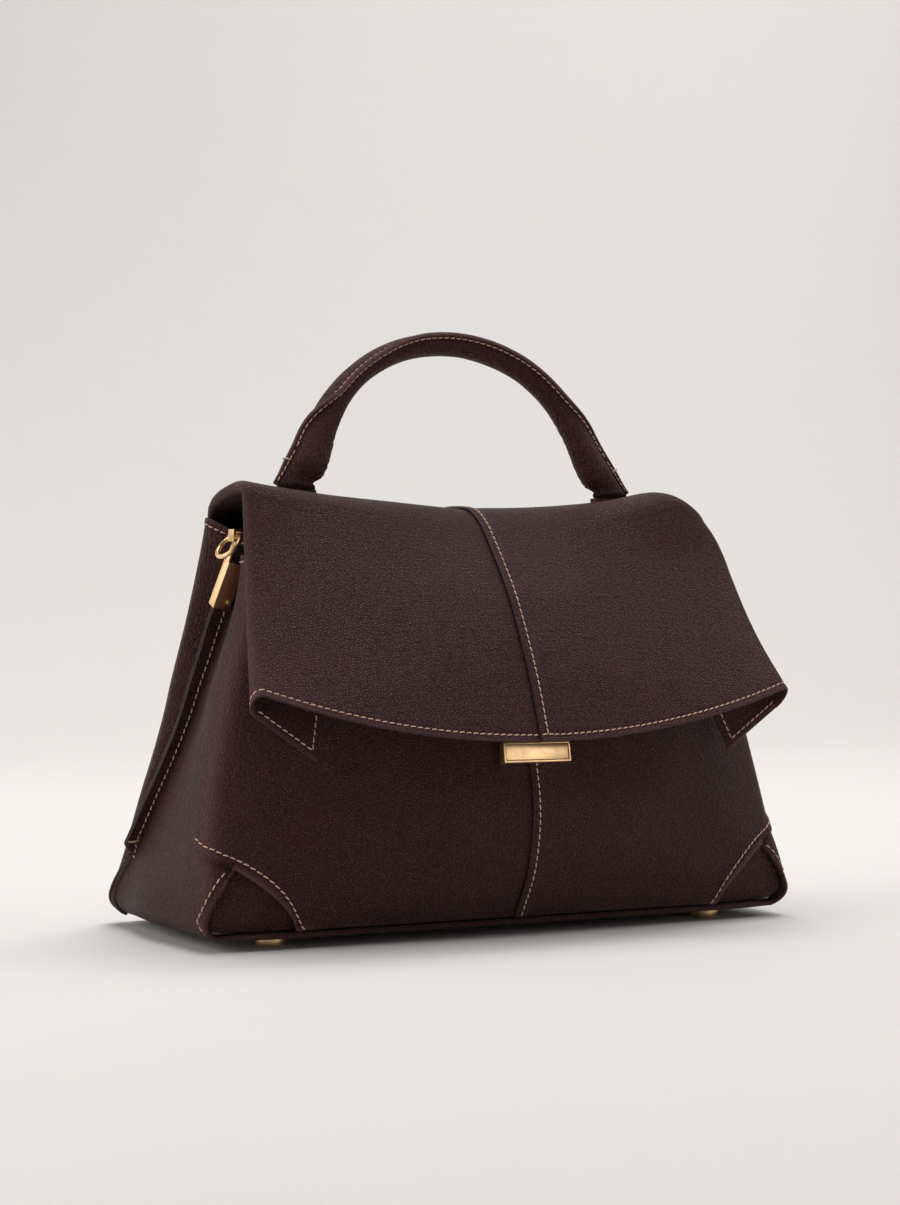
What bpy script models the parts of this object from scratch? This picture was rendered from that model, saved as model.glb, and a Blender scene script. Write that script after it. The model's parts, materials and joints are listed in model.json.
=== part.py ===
"""Top-handle flap bag in pebbled leather, modelled piece by piece at its real size.

The bag stands on four feet with +Z up and its front towards -Y.  The origin lies under the
middle of its bounding box.  Shapes are worked out in a frame whose Y is zero over the middle of
the base; every piece is then moved back by base_shift.
"""
import math

import bmesh
import bpy
from mathutils import Matrix, Vector

mm = 0.001

# Driving dimensions of the bag
base_width = 320 * mm
base_depth = 134 * mm
body_height = 201 * mm
leather = 1.3 * mm
gap = 0.3 * mm
seam_gap = 0.3 * mm
edge_angle = math.radians(35)
probe_share = 0.0005

# Body: height, half width, front edge, front middle, back edge and back middle.
# Heights are shares of body_height, widths of half base_width, depths of half base_depth.
body_shares = (
    (0.025, 1.000, -1.000, -1.012, 0.985, 1.000),
    (0.075, 1.000, -1.010, -1.105, 0.925, 1.000),
    (0.149, 0.994, -0.970, -1.239, 0.806, 0.985),
    (0.249, 0.981, -0.858, -1.321, 0.672, 0.940),
    (0.328, 0.966, -0.806, -1.328, 0.582, 0.888),
    (0.423, 0.941, -0.769, -1.273, 0.493, 0.821),
    (0.522, 0.913, -0.739, -1.224, 0.440, 0.739),
    (0.607, 0.891, -0.694, -1.164, 0.418, 0.672),
    (0.751, 0.850, -0.619, -0.955, 0.366, 0.545),
    (0.896, 0.822, -0.522, -0.634, 0.291, 0.388),
    (1.000, 0.809, -0.463, -0.463, 0.216, 0.254),
)
bow_power = 2.2
corner_radius = 9 * mm
corner_span_share = 0.08

# Side fold by height: where the fin runs between front and back edge, how far the side sinks in
# and how high the fin stands, the last two as shares of pinch_depth and fin_height.
fold_shares = (
    (0.000, 0.930, 0.00, 0.74),
    (0.130, 0.915, 0.06, 0.74),
    (0.220, 0.890, 0.23, 0.74),
    (0.470, 0.770, 0.47, 0.74),
    (0.640, 0.730, 0.70, 0.86),
    (0.787, 0.670, 0.886, 1.00),
    (1.000, 0.135, 1.165, 1.00),
)
pinch_depth = 17.6 * mm
fin_height = 9.5 * mm
fin_root_height = 1 * mm
fin_end_share = 0.13
fin_full_share = 0.24
fin_straight_share = 0.780

# Mouth: top edge of the panels at the middle, at the corner and at the fin.
mouth_front_shares = (0.945, 0.905, 0.8955)
mouth_back_shares = (1.000, 1.000, 0.928)
mouth_turn_share = 0.5
mouth_fall_power = 1.5

# Curved cut at each lower corner of the panels.
notch_start_share = 0.660
notch_peak_share = 0.920
notch_height = 36 * mm
notch_power = 0.6
notch_foot_height = 5 * mm

# Columns of the panels: shares from the centre seam (0) to the corner (1) and past it.
panel_column_shares = (0.0, 0.16, 0.32, 0.48, 0.60, 0.66, 0.70, 0.77, 0.85, 0.92, 0.96, 1.0, 1.04, 1.08)
side_column_shares = (0.22, 0.5, 0.78, 1.0)
panel_row_shares = (0.0, 0.05, 0.12, 0.21, 0.33, 0.49, 0.72, 1.0, 1.25)
panel_lean_share = 0.5

# Recessed corner pieces
corner_recess = 2.4 * mm
corner_piece_start_share = 0.60
corner_piece_height = 48 * mm
corner_piece_columns = 7
corner_piece_rows = 4

# Base, board, feet and washers
foot_height = 5 * mm
foot_radius = 7 * mm
foot_bevel = 1 * mm
foot_inset_x = 40 * mm
foot_inset_y = 17 * mm
shank_radius = 1.5 * mm
shank_clearance = 0.3 * mm
base_thickness = 3 * mm
base_overhang = 0.6 * mm
board_thickness = 2 * mm
board_inset = 7 * mm
washer_thickness = 0.8 * mm
washer_radius = 4.5 * mm
round_steps = 16

# Lining of the body
lining_thickness = 0.8 * mm
lining_drop = 3 * mm
lining_low_share = 0.30
lining_high_share = 0.42
lining_column_shares = (0.0, 0.24, 0.48, 0.72, 0.90, 1.0, 1.08)
lining_clearance = 0.5 * mm
level_tries = 6

# Flap: place along the flap from hinge to hem, then the middle and the edge as depth and height,
# and the half width, as shares of half base_depth, body_height and half base_width.
flap_shares = (
    (0.00, 0.254, 1.0035, 0.228, 1.0035, 0.791),
    (0.04, 0.249, 1.0155, 0.222, 1.0174, 0.792),
    (0.09, 0.194, 1.0275, 0.182, 1.0345, 0.794),
    (0.16, 0.037, 1.0333, 0.067, 1.0556, 0.796),
    (0.24, -0.164, 1.0323, -0.134, 1.0710, 0.798),
    (0.32, -0.366, 1.0214, -0.403, 1.0806, 0.800),
    (0.40, -0.530, 0.9876, -0.590, 1.0672, 0.805),
    (0.46, -0.650, 0.9453, -0.642, 1.0200, 0.810),
    (0.54, -0.800, 0.8856, -0.694, 0.9552, 0.817),
    (0.66, -1.000, 0.7960, -0.806, 0.8607, 0.832),
    (0.83, -1.269, 0.6269, -1.037, 0.7114, 0.862),
    (1.00, -1.455, 0.4776, -1.299, 0.5821, 0.891),
)
roof_sag_power = 1.3
hem_sag_power = 2.0
sag_change_shares = (0.30, 0.60)
flap_step_share = 0.002
flap_columns = 6
flap_row_shares = (0.0, 0.04, 0.09, 0.13, 0.18, 0.24, 0.31, 0.36, 0.40, 0.46, 0.54, 0.66, 0.78, 0.89, 1.0)
fold_steps = 4
fold_reach_share = 0.06
wing_columns = 3
hem_fold_radius = 4.5 * mm
wing_width = 31 * mm
wing_drop = 17 * mm
wing_lean_share = 0.3

# Folded margin: place along the flap, then radius, width and drop as shares of the three above.
wing_shares = (
    (0.00, 0.50, 0.22, 0.00),
    (0.32, 0.56, 0.26, 0.00),
    (0.52, 0.62, 0.39, 0.00),
    (0.66, 0.70, 0.60, 0.17),
    (0.83, 0.85, 0.87, 0.47),
    (1.00, 1.00, 1.00, 1.00),
)
flap_lining_reach_share = 0.96
flap_lining_start_share = 0.06
flap_lining_end_share = 0.985
flap_lining_depth = leather + 2 * gap

# Handle
handle_span = 182 * mm
handle_rise = 76.6 * mm
handle_arch_share = 0.901
handle_lean = math.radians(12.5)
handle_thickness = 12.4 * mm
handle_end_width = 16.5 * mm
handle_end_thickness = 13 * mm
handle_wall = 1.6 * mm
handle_swell_share = 0.45
handle_place_share = 0.20
tab_width = 20 * mm
tab_thickness = 6 * mm
tab_length = 15 * mm
tab_round_shares = (0.45, 0.80, 0.97)
patch_thickness = 0.8 * mm
patch_width = 24 * mm
patch_reach_share = 0.045
patch_steps = 4
handle_steps = 20
tab_steps = 5
tube_sides = 12

# Side clamp, its eye, rivet and ring
clamp_top_share = 0.894
clamp_bottom_share = 0.787
clamp_width = 6.4 * mm
clamp_cap = 1.2 * mm
clamp_reach = 8.8 * mm
clamp_clearance = 0.4 * mm
neck_width = 3.6 * mm
neck_inset = 0.1 * mm
neck_foot = 2 * mm
eye_rise = 13.4 * mm
eye_out = 2.9 * mm
eye_band = 1.2 * mm
eye_width = 4.6 * mm
eye_room = 0.5 * mm
rivet_radius = 1.3 * mm
rivet_shank_radius = 0.7 * mm
rivet_head = 0.6 * mm
rivet_rise = 4.6 * mm
rivet_inset = 7.0 * mm
ring_radius = 6.9 * mm
ring_wire = 1.15 * mm
ring_tilt = math.radians(50)
ring_turn = math.radians(12)
ring_steps = 24
wire_sides = 8

# Clasp
clasp_width = 36 * mm
clasp_height = 9.6 * mm
clasp_depth = 5.2 * mm
clasp_top_share = 0.462
clasp_rim = 0.9 * mm
clasp_floor = 1.0 * mm
tail_height = 14 * mm
tail_width = 20 * mm
tail_thickness = 1.2 * mm
tail_inset = 0.1 * mm
button_thickness = 1.6 * mm
button_travel = 1.2 * mm
button_inset = 0.3 * mm
spring_strip = 0.25 * mm
spring_length = 24 * mm
spring_width = 4.4 * mm
spring_steps = 8
backplate_thickness = 1.2 * mm
backplate_width = 26 * mm
stud_radius = 3 * mm
stud_shank_radius = 1.2 * mm
stud_entry = 0.6 * mm
stud_rise = 9 * mm
keeper_high_share = 0.89
keeper_place_share = 0.48
keeper_width = 30 * mm
keeper_height = 12 * mm
keeper_thickness = 1.4 * mm
keeper_clearance = 1.3 * mm

# Colours as linear red, green and blue
leather_brown = (0.040, 0.023, 0.021)
suede_brown = (0.085, 0.055, 0.045)
board_grey = (0.22, 0.20, 0.18)
brass_gold = (0.78, 0.55, 0.30)


def smooth(rows, place):
    """Values at a place between rows of (place, value, ...), along a curve with even tangents."""
    place = min(max(place, rows[0][0]), rows[-1][0])
    last = len(rows) - 1
    k = next((i for i in range(last) if place <= rows[i + 1][0]), last - 1)
    start, end = rows[k], rows[k + 1]
    run = end[0] - start[0]
    t = (place - start[0]) / run

    def slope(i, column):
        low = rows[max(i - 1, 0)]
        high = rows[min(i + 1, last)]
        return (high[column] - low[column]) / (high[0] - low[0]) * run

    values = []
    for column in range(1, len(start)):
        a, b = start[column], end[column]
        m, n = slope(k, column), slope(k + 1, column)
        values.append(a + t * (m + t * (3 * (b - a) - 2 * m - n + t * (2 * (a - b) + m + n))))
    return values


def ease(value, low, high):
    """Smooth step from 0 at low to 1 at high."""
    t = min(max((value - low) / (high - low), 0.0), 1.0)
    return t * t * (3 - 2 * t)


def mix(a, b, share):
    return a + (b - a) * share


def even(count):
    """Count + 1 shares from 0 to 1."""
    return [i / count for i in range(count + 1)]


# Body surface.  A leaning wall's inner edge reaches lower than its outer edge by a share of the leather.

panel_foot = foot_height + base_thickness + gap + leather * panel_lean_share
fin_straight = fin_straight_share * body_height


def body_row(height):
    width, front_edge, front_mid, back_edge, back_mid = smooth(body_shares, height / body_height)
    return (width * base_width / 2, front_edge * base_depth / 2, front_mid * base_depth / 2,
            back_edge * base_depth / 2, back_mid * base_depth / 2)


def fold_root(height):
    """Bottom of the side's valley, where the fin stands: half width and depth."""
    width, front_edge, _, back_edge, _ = body_row(height)
    place, pinch, _ = smooth(fold_shares, height / body_height)
    return Vector((width - pinch * pinch_depth,
                   mix(front_edge + corner_radius, back_edge - corner_radius, place)))


straight_foot = fold_root(fin_straight)
straight_top = fold_root(body_height)


def fin_root(height):
    """Bottom of the side's valley; it rises in a straight line through the clamp."""
    if height <= fin_straight:
        return fold_root(height)
    return straight_foot.lerp(straight_top, (height - fin_straight) / (body_height - fin_straight))


def half_fin(height):
    """Half the fin's thickness, measured along Y where the seam leans."""
    step = probe_share * body_height
    lean = (fin_root(height + step).y - fin_root(height - step).y) / (2 * step)
    return (leather + seam_gap / 2) * math.sqrt(1 + lean ** 2)


def side_x(y, height):
    """Half width of the side at a depth; the side sinks in to a valley along the fin."""
    width, front_edge, _, back_edge, _ = body_row(height)
    root = fin_root(height)
    front_start = front_edge + corner_radius
    back_start = back_edge - corner_radius
    if y < root.y:
        reach = (y - front_start) / (root.y - front_start)
    else:
        reach = (back_start - y) / (back_start - root.y)
    reach = min(max(reach, 0.0), 1.0)
    return width - (width - root.x) * math.sin(reach * math.pi / 2) ** 2


def face_y(x, height, front):
    """Depth of the front or the back face, bowed out towards its middle."""
    width, front_edge, front_mid, back_edge, back_mid = body_row(height)
    edge, middle = (front_edge, front_mid) if front else (back_edge, back_mid)
    return mix(middle, edge, (x / width) ** bow_power)


def body_point(place, height, front=True):
    """Point of the right half of the body: place 0 is the centre seam, 1 the corner, 2 the fin.

    From the centre to the corner the point runs over the face, then round a fillet, and from
    there over the side to the seam at the fin.
    """
    width, front_edge, _, back_edge, _ = body_row(height)
    turn = 1 if front else -1
    edge = front_edge if front else back_edge
    straight = width - corner_radius
    face_end = 1 - corner_span_share
    side_start = 1 + corner_span_share
    corner_y = edge + turn * corner_radius
    if place <= face_end:
        x = straight * place / face_end
        return Vector((x, face_y(x, height, front), height))
    if place < side_start:
        t = (place - face_end) / (side_start - face_end)
        a = Vector((straight, face_y(straight, height, front), height))
        b = Vector((width, edge, height))
        c = Vector((width, corner_y, height))
        return a * (1 - t) ** 2 + b * (2 * t * (1 - t)) + c * t ** 2
    root = fin_root(height).y - turn * half_fin(height)
    y = mix(corner_y, root, (place - side_start) / (2 - side_start))
    return Vector((side_x(y, height), y, height))


def inset_point(place, height, depth, front=True):
    """Point at a depth inside the body surface, square to it."""
    step = probe_share * body_height
    here = body_point(place, height, front)
    across = body_point(place + probe_share, height, front) - body_point(max(place - probe_share, 0), height, front)
    upward = body_point(place, height + step, front) - body_point(place, height - step, front)
    normal = across.cross(upward) if front else upward.cross(across)
    return here - normal.normalized() * depth


def notch_floor(place):
    """Lower edge of a panel at a place: it rises over the curved cut at the corner."""
    if place <= notch_start_share or place >= 1 + corner_span_share / 2:
        return panel_foot
    if place <= notch_peak_share:
        reach = (place - notch_start_share) / (notch_peak_share - notch_start_share)
        return panel_foot + notch_height * reach ** notch_power
    if place <= 1:
        reach = (1 - place) / (1 - notch_peak_share)
        return panel_foot + mix(notch_foot_height, notch_height, reach)
    reach = (1 + corner_span_share / 2 - place) / (corner_span_share / 2)
    return panel_foot + notch_foot_height * reach


def mouth_height(place, front):
    """Upper edge of a panel: level on the faces, falling towards the fin on the sides."""
    middle, corner, fin = mouth_front_shares if front else mouth_back_shares
    level = mix(middle, corner, ease(place, mouth_turn_share, 1))
    return mix(level, fin, max(place - 1, 0) ** mouth_fall_power) * body_height


def row_height(low, top, share):
    """Height of a panel's row: shares up to 1 run to the foot of the straight fin, then to the top."""
    if share <= 1:
        return mix(low, fin_straight, share)
    return mix(fin_straight, top, (share - 1) / (panel_row_shares[-1] - 1))


def level_point(place, level, depth, front):
    """Point at a depth inside the body surface and at a level."""
    height = level
    for _ in range(level_tries):
        point = inset_point(place, height, depth, front)
        height += level - point.z
    return point


def foot_level(depth):
    """Height at which a piece at a depth inside the surface clears the base as the wall leans."""
    return panel_foot + depth * panel_lean_share


# Mesh helpers

def clear_scene():
    for thing in list(bpy.data.objects):
        bpy.data.objects.remove(thing, do_unlink=True)


def make_material(name, colour, roughness, metallic=0.0):
    material = bpy.data.materials.new(name)
    material.use_nodes = True
    shader = material.node_tree.nodes["Principled BSDF"]
    shader.inputs["Base Color"].default_value = (*colour, 1.0)
    shader.inputs["Roughness"].default_value = roughness
    shader.inputs["Metallic"].default_value = metallic
    material.diffuse_color = (*colour, 1.0)
    return material


def add_object(name, mesh, material, parent, pivot=None):
    """Object for a mesh given in the bag's frame, with its origin at the pivot."""
    pivot = pivot or Vector((0, 0, 0))
    mesh.transform(Matrix.Translation(-pivot))
    mesh.materials.append(material)
    mesh.shade_smooth()
    mesh.set_sharp_from_angle(angle=edge_angle)
    thing = bpy.data.objects.new(name, mesh)
    bpy.context.scene.collection.objects.link(thing)
    thing.parent = parent
    thing.location = pivot - anchor_of(parent)
    return thing


def anchor_of(parent):
    """Place of an empty in the bag's frame."""
    place = Vector((0, 0, 0))
    while parent is not None and parent.parent is not None:
        place += parent.location
        parent = parent.parent
    return place


def add_empty(name, parent, place):
    empty = bpy.data.objects.new(name, None)
    bpy.context.scene.collection.objects.link(empty)
    empty.parent = parent
    empty.location = place if parent is None else place - anchor_of(parent)
    return empty


def mesh_from(name, points, faces, out=True):
    """Mesh with all faces turned the same way; out makes a closed mesh face outwards."""
    mesh = bpy.data.meshes.new(name)
    mesh.from_pydata([tuple(p) for p in points], [], faces)
    if out:
        shape = bmesh.new()
        shape.from_mesh(mesh)
        bmesh.ops.recalc_face_normals(shape, faces=shape.faces)
        shape.to_mesh(mesh)
        shape.free()
    return mesh


def mirrored(points):
    return [Vector((-p.x, p.y, p.z)) for p in points]


def sheet(name, grid, thickness, material, parent, mirror=False, pivot=None):
    """Leather sheet from a grid of rows of points, thickened to its inner side."""
    rows, columns = len(grid), len(grid[0])
    points = [p for row in grid for p in row]
    faces = []
    for r in range(rows - 1):
        for c in range(columns - 1):
            k = r * columns + c
            quad = (k, k + 1, k + columns + 1, k + columns)
            faces.append(tuple(reversed(quad)) if mirror else quad)
    if mirror:
        points = mirrored(points)
    mesh = mesh_from(name, points, faces, out=False)
    thing = add_object(name, mesh, material, parent, pivot)
    shell = thing.modifiers.new("thickness", "SOLIDIFY")
    shell.thickness = thickness
    shell.offset = -1.0
    shell.use_even_offset = True
    shell.use_quality_normals = True
    return thing


def loft(name, rings, material, parent, mirror=False, pivot=None, hollow=0.0):
    """Solid through a row of closed rings, capped, or an open tube with a wall."""
    count = len(rings[0])
    points = [p for ring in rings for p in ring]
    faces = []
    for r in range(len(rings) - 1):
        for c in range(count):
            d = (c + 1) % count
            faces.append((r * count + c, r * count + d, (r + 1) * count + d, (r + 1) * count + c))
    if not hollow:
        faces.append(tuple(range(count)))
        faces.append(tuple((len(rings) - 1) * count + c for c in range(count)))
    if mirror:
        points = mirrored(points)
    mesh = mesh_from(name, points, faces)
    thing = add_object(name, mesh, material, parent, pivot)
    if hollow:
        shell = thing.modifiers.new("wall", "SOLIDIFY")
        shell.thickness = hollow
        shell.offset = -1.0
        shell.use_even_offset = True
    return thing


def slab(name, low, high, material, parent, mirror=False, pivot=None):
    """Solid between two grids of rows of points."""
    rows, columns = len(low), len(low[0])
    size = rows * columns
    points = [p for grid in (low, high) for row in grid for p in row]
    faces = []
    for r in range(rows - 1):
        for c in range(columns - 1):
            k = r * columns + c
            faces.append((k, k + 1, k + columns + 1, k + columns))
            faces.append((size + k, size + k + columns, size + k + columns + 1, size + k + 1))
    rim = list(range(columns)) + [r * columns + columns - 1 for r in range(1, rows)]
    rim += [size - 1 - c for c in range(1, columns)] + [r * columns for r in range(rows - 2, 0, -1)]
    for k, here in enumerate(rim):
        after = rim[(k + 1) % len(rim)]
        faces.append((here, after, size + after, size + here))
    if mirror:
        points = mirrored(points)
    return add_object(name, mesh_from(name, points, faces), material, parent, pivot)


def turned(name, profile, place, material, parent, mirror=False):
    """Turned piece about a vertical axis from its (radius, height) profile."""
    rings = []
    for radius, height in profile:
        rings.append([place + Vector((radius * math.cos(a), radius * math.sin(a), height))
                      for a in (2 * math.pi * k / round_steps for k in range(round_steps))])
    return loft(name, rings, material, parent, mirror)


def box_mesh(name, low, high, frame=None):
    """Box between two corners, optionally placed by a frame."""
    points = [Vector((x, y, z)) for z in (low[2], high[2]) for y in (low[1], high[1]) for x in (low[0], high[0])]
    faces = [(0, 1, 3, 2), (4, 6, 7, 5), (0, 4, 5, 1), (2, 3, 7, 6), (0, 2, 6, 4), (1, 5, 7, 3)]
    if frame:
        points = [frame @ p for p in points]
    return mesh_from(name, points, faces)


def rod_mesh(name, start, end, radius, steps):
    """Round rod between two points."""
    axis = (end - start).normalized()
    side = axis.orthogonal().normalized()
    other = axis.cross(side)
    points = []
    for centre in (start, end):
        for k in range(steps):
            a = 2 * math.pi * k / steps
            points.append(centre + radius * (math.cos(a) * side + math.sin(a) * other))
    faces = [(k, (k + 1) % steps, steps + (k + 1) % steps, steps + k) for k in range(steps)]
    faces += [tuple(range(steps)), tuple(range(steps, 2 * steps))]
    return mesh_from(name, points, faces)


def helper(name, mesh, parent):
    """Hidden guide solid for a Boolean."""
    thing = bpy.data.objects.new(name, mesh)
    bpy.context.scene.collection.objects.link(thing)
    thing.parent = parent
    thing.location = -anchor_of(parent)
    thing.hide_render = True
    thing.display_type = "WIRE"
    return thing


def combine(thing, other, operation):
    step = thing.modifiers.new(operation.lower(), "BOOLEAN")
    step.object = other
    step.operation = operation
    step.solver = "EXACT"


# Body pieces

def fin_reach(height):
    """Height of the fin above the valley."""
    full = smooth(fold_shares, height / body_height)[2] * fin_height
    return mix(fin_root_height, full, ease(height / body_height, fin_end_share, fin_full_share))


def panel_grid(front):
    """Grid of half a front or back with its wrap onto the side and its flange at the fin."""
    places = list(panel_column_shares)
    side_start = places[-1]
    places += [mix(side_start, 2, share) for share in side_column_shares]
    grid = []
    for share in panel_row_shares:
        row = []
        for place in places:
            height = row_height(notch_floor(place), mouth_height(place, front), share)
            point = body_point(place, height, front)
            point.x = max(point.x, seam_gap / 2)
            row.append(point)
        root = row[-1]
        reach = fin_reach(root.z)
        row.append(root + Vector((reach / 2, 0, 0)))
        row.append(root + Vector((reach, 0, 0)))
        grid.append(row)
    return grid


def make_panels(parent, skin):
    for front in (True, False):
        side = "front" if front else "back"
        grid = panel_grid(front)
        if not front:
            grid = [list(reversed(row)) for row in grid]
        sheet(f"{side}_panel_right", grid, leather, skin, parent)
        sheet(f"{side}_panel_left", grid, leather, skin, parent, mirror=True)


def make_corners(parent, skin):
    """Recessed leather behind each curved cut."""
    end = 1 + 2 * corner_span_share
    for front in (True, False):
        grid = []
        for share in even(corner_piece_rows):
            height = foot_level(corner_recess) + corner_piece_height * share
            row = [inset_point(mix(corner_piece_start_share, end, t), height, corner_recess, front)
                   for t in even(corner_piece_columns)]
            grid.append(row if front else list(reversed(row)))
        side = "front" if front else "back"
        sheet(f"corner_{side}_right", grid, leather, skin, parent)
        sheet(f"corner_{side}_left", grid, leather, skin, parent, mirror=True)


def whole_ring(right):
    """Closed ring from the points of its right half, front middle to back middle."""
    right[0].x = 0
    right[-1].x = 0
    return right + list(reversed(mirrored(right[1:-1])))


def side_places(columns):
    return list(columns) + [mix(columns[-1], 2, share) for share in side_column_shares]


def flat_outline(height, depth, level):
    """Outline of the body at a height, at a depth inside its surface, laid flat at a level."""
    places = side_places(lining_column_shares)
    right = [inset_point(place, height, depth, True) for place in places]
    right += [inset_point(place, height, depth, False) for place in reversed(places[:-1])]
    return [Vector((p.x, p.y, level)) for p in whole_ring(right)]


def foot_places():
    x = base_width / 2 - foot_inset_x
    y = base_depth / 2 - foot_inset_y
    return {"front_left": Vector((-x, -y, 0)), "front_right": Vector((x, -y, 0)),
            "back_left": Vector((-x, y, 0)), "back_right": Vector((x, y, 0))}


def make_base(parent, skin, stiff):
    low = foot_height
    high = low + base_thickness
    rings = [flat_outline(panel_foot, -base_overhang, level) for level in (low, high)]
    panel = loft("base_panel", rings, skin, parent)
    board_low = high + gap
    board_high = board_low + board_thickness
    board_rings = [flat_outline(panel_foot, board_inset, level) for level in (board_low, board_high)]
    board = loft("base_board", board_rings, stiff, parent)
    for name, place in foot_places().items():
        hole = rod_mesh(f"hole_{name}", place, place + Vector((0, 0, board_high + base_thickness)),
                        shank_radius + shank_clearance, round_steps // 2)
        cutter = helper(f"hole_{name}", hole, parent)
        combine(panel, cutter, "DIFFERENCE")
        combine(board, cutter, "DIFFERENCE")
    return board_high


def make_feet(parent, brass, board_top):
    shank_top = board_top + 2 * gap + washer_thickness
    seat = foot_height - gap
    for name, place in foot_places().items():
        profile = ((foot_radius - foot_bevel, 0), (foot_radius, foot_bevel), (foot_radius, seat),
                   (shank_radius, seat), (shank_radius, shank_top))
        turned(f"foot_{name}", profile, place, brass, parent)
        washer = washer_rings(place, board_top + gap)
        ring_solid(f"washer_{name}", washer, brass, parent)


def washer_rings(place, level):
    """Square section of a washer carried round its hole."""
    inner = shank_radius + shank_clearance
    section = ((inner, 0), (washer_radius, 0), (washer_radius, washer_thickness), (inner, washer_thickness))
    return [[place + Vector((r * math.cos(a), r * math.sin(a), level + z)) for r, z in section]
            for a in (2 * math.pi * k / round_steps for k in range(round_steps))]


def ring_solid(name, rings, material, parent, mirror=False, pivot=None):
    """Solid through rings that close on themselves."""
    count = len(rings[0])
    points = [p for ring in rings for p in ring]
    faces = []
    for r in range(len(rings)):
        s = (r + 1) % len(rings)
        for c in range(count):
            d = (c + 1) % count
            faces.append((r * count + c, r * count + d, s * count + d, s * count + c))
    if mirror:
        points = mirrored(points)
    return add_object(name, mesh_from(name, points, faces), material, parent, pivot)


def make_lining(parent, suede, board_top):
    """Lining bag: walls inside the panels and a floor above the washers."""
    floor = board_top + 3 * gap + washer_thickness + lining_thickness
    places = side_places(lining_column_shares)
    wide = leather + backplate_thickness + 3 * gap + lining_clearance
    deep = corner_recess + leather + gap + lining_clearance
    walls = []
    low_rows = [share for share in panel_row_shares if row_height(panel_foot, body_height, share) > floor + deep]
    for share in [0.0] + low_rows:
        right = []
        for front in (True, False):
            run = []
            for place in places:
                top = mouth_height(place, front) - lining_drop
                height = row_height(panel_foot, top, share) if share else floor
                depth = mix(deep, wide, ease(height / body_height, lining_low_share, lining_high_share))
                find = inset_point if share else level_point
                run.append(find(place, height, depth, front))
            right += run if front else list(reversed(run))
        walls.append(whole_ring(right))
    count = len(walls[0])
    points = [p for ring in walls for p in ring]
    faces = []
    for r in range(len(walls) - 1):
        for c in range(count):
            d = (c + 1) % count
            faces.append((r * count + c, r * count + d, (r + 1) * count + d, (r + 1) * count + c))
    faces.append(tuple(reversed(range(count))))
    mesh = mesh_from("body_lining", points, faces, out=False)
    thing = add_object("body_lining", mesh, suede, parent)
    shell = thing.modifiers.new("thickness", "SOLIDIFY")
    shell.thickness = lining_thickness
    shell.offset = -1.0
    shell.use_even_offset = True


# Flap

def flap_point(across, along, depth=0.0):
    """Point of the flap's right half: across 0 is the seam and 1 the fold, along 0 the hinge."""
    def surface(q, t):
        middle_y, middle_z, edge_y, edge_z, half = smooth(flap_shares, t)
        low, high = sag_change_shares
        power = mix(roof_sag_power, hem_sag_power, ease(t, low, high))
        share = q ** power
        return Vector((q * half * base_width / 2, mix(middle_y, edge_y, share) * base_depth / 2,
                       mix(middle_z, edge_z, share) * body_height + gap))
    here = surface(across, along)
    if not depth:
        return here
    step = flap_step_share
    span = surface(min(across + step, 1), along) - surface(max(across - step, 0), along)
    run = surface(across, max(along - step, 0)) - surface(across, min(along + step, 1))
    return here - span.cross(run).normalized() * depth


def flap_grid():
    """Grid of the flap's right half from hinge to hem, with the margin folded under."""
    grid = []
    for along in flap_row_shares:
        radius, width, drop = smooth(wing_shares, along)
        radius *= hem_fold_radius
        width *= wing_width
        drop *= wing_drop
        row = [flap_point(q, along) for q in even(flap_columns)]
        row[0].x = seam_gap / 2
        edge = row[-1]
        inward = (flap_point(1, along, leather) - edge).normalized()
        down = Vector((0, wing_lean_share, -1)).normalized()
        outward = (edge - flap_point(1 - fold_reach_share, along)).normalized()
        for k in range(1, fold_steps + 1):
            a = math.pi * k / fold_steps
            row.append(edge + inward * radius * (1 - math.cos(a)) + outward * radius * math.sin(a))
        fold = row[-1]
        for k in range(1, wing_columns + 1):
            share = k / wing_columns
            row.append(fold - outward * width * share + down * drop * share)
        grid.append(row)
    return grid


def make_flap(parent, skin, suede, pivot):
    grid = [list(reversed(row)) for row in flap_grid()]
    sheet("flap_right", grid, leather, skin, parent, pivot=pivot)
    sheet("flap_left", grid, leather, skin, parent, mirror=True, pivot=pivot)
    start, end = flap_lining_start_share, flap_lining_end_share
    columns = even(flap_columns)[:-1] + [flap_lining_reach_share]
    lining = []
    for t in [start] + [t for t in flap_row_shares if start < t < end] + [end]:
        right = [flap_point(q, t, flap_lining_depth) for q in columns]
        right[0].x = 0
        lining.append(list(reversed(right)) + mirrored(right[1:]))
    sheet("flap_lining", lining, lining_thickness, suede, parent, pivot=pivot)


# Handle

def pad_grid():
    """Places on the roof of the flap under the right pad: rows of (across, along)."""
    half = smooth(flap_shares, handle_place_share)[4] * base_width / 2
    middle = handle_span / 2 / half
    spread = patch_width / 2 / half
    return [[(mix(middle + spread, middle - spread, q), handle_place_share + patch_reach_share * (2 * t - 1))
             for q in even(patch_steps)] for t in even(patch_steps)]


def pad_level():
    """Flat top of the pads: their thinnest place lies over the highest point of the roof."""
    return max(flap_point(q, t).z for row in pad_grid() for q, t in row) + gap + patch_thickness


def handle_frame():
    """Frame of the handle: X across, Y forward square to it, Z up along its lean, at its foot axis."""
    seat = flap_point(handle_span / base_width / smooth(flap_shares, handle_place_share)[4], handle_place_share)
    level = pad_level() + gap + tab_thickness / 2
    return Matrix.Translation(Vector((0, seat.y, level))) @ Matrix.Rotation(-handle_lean, 4, "X")


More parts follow.
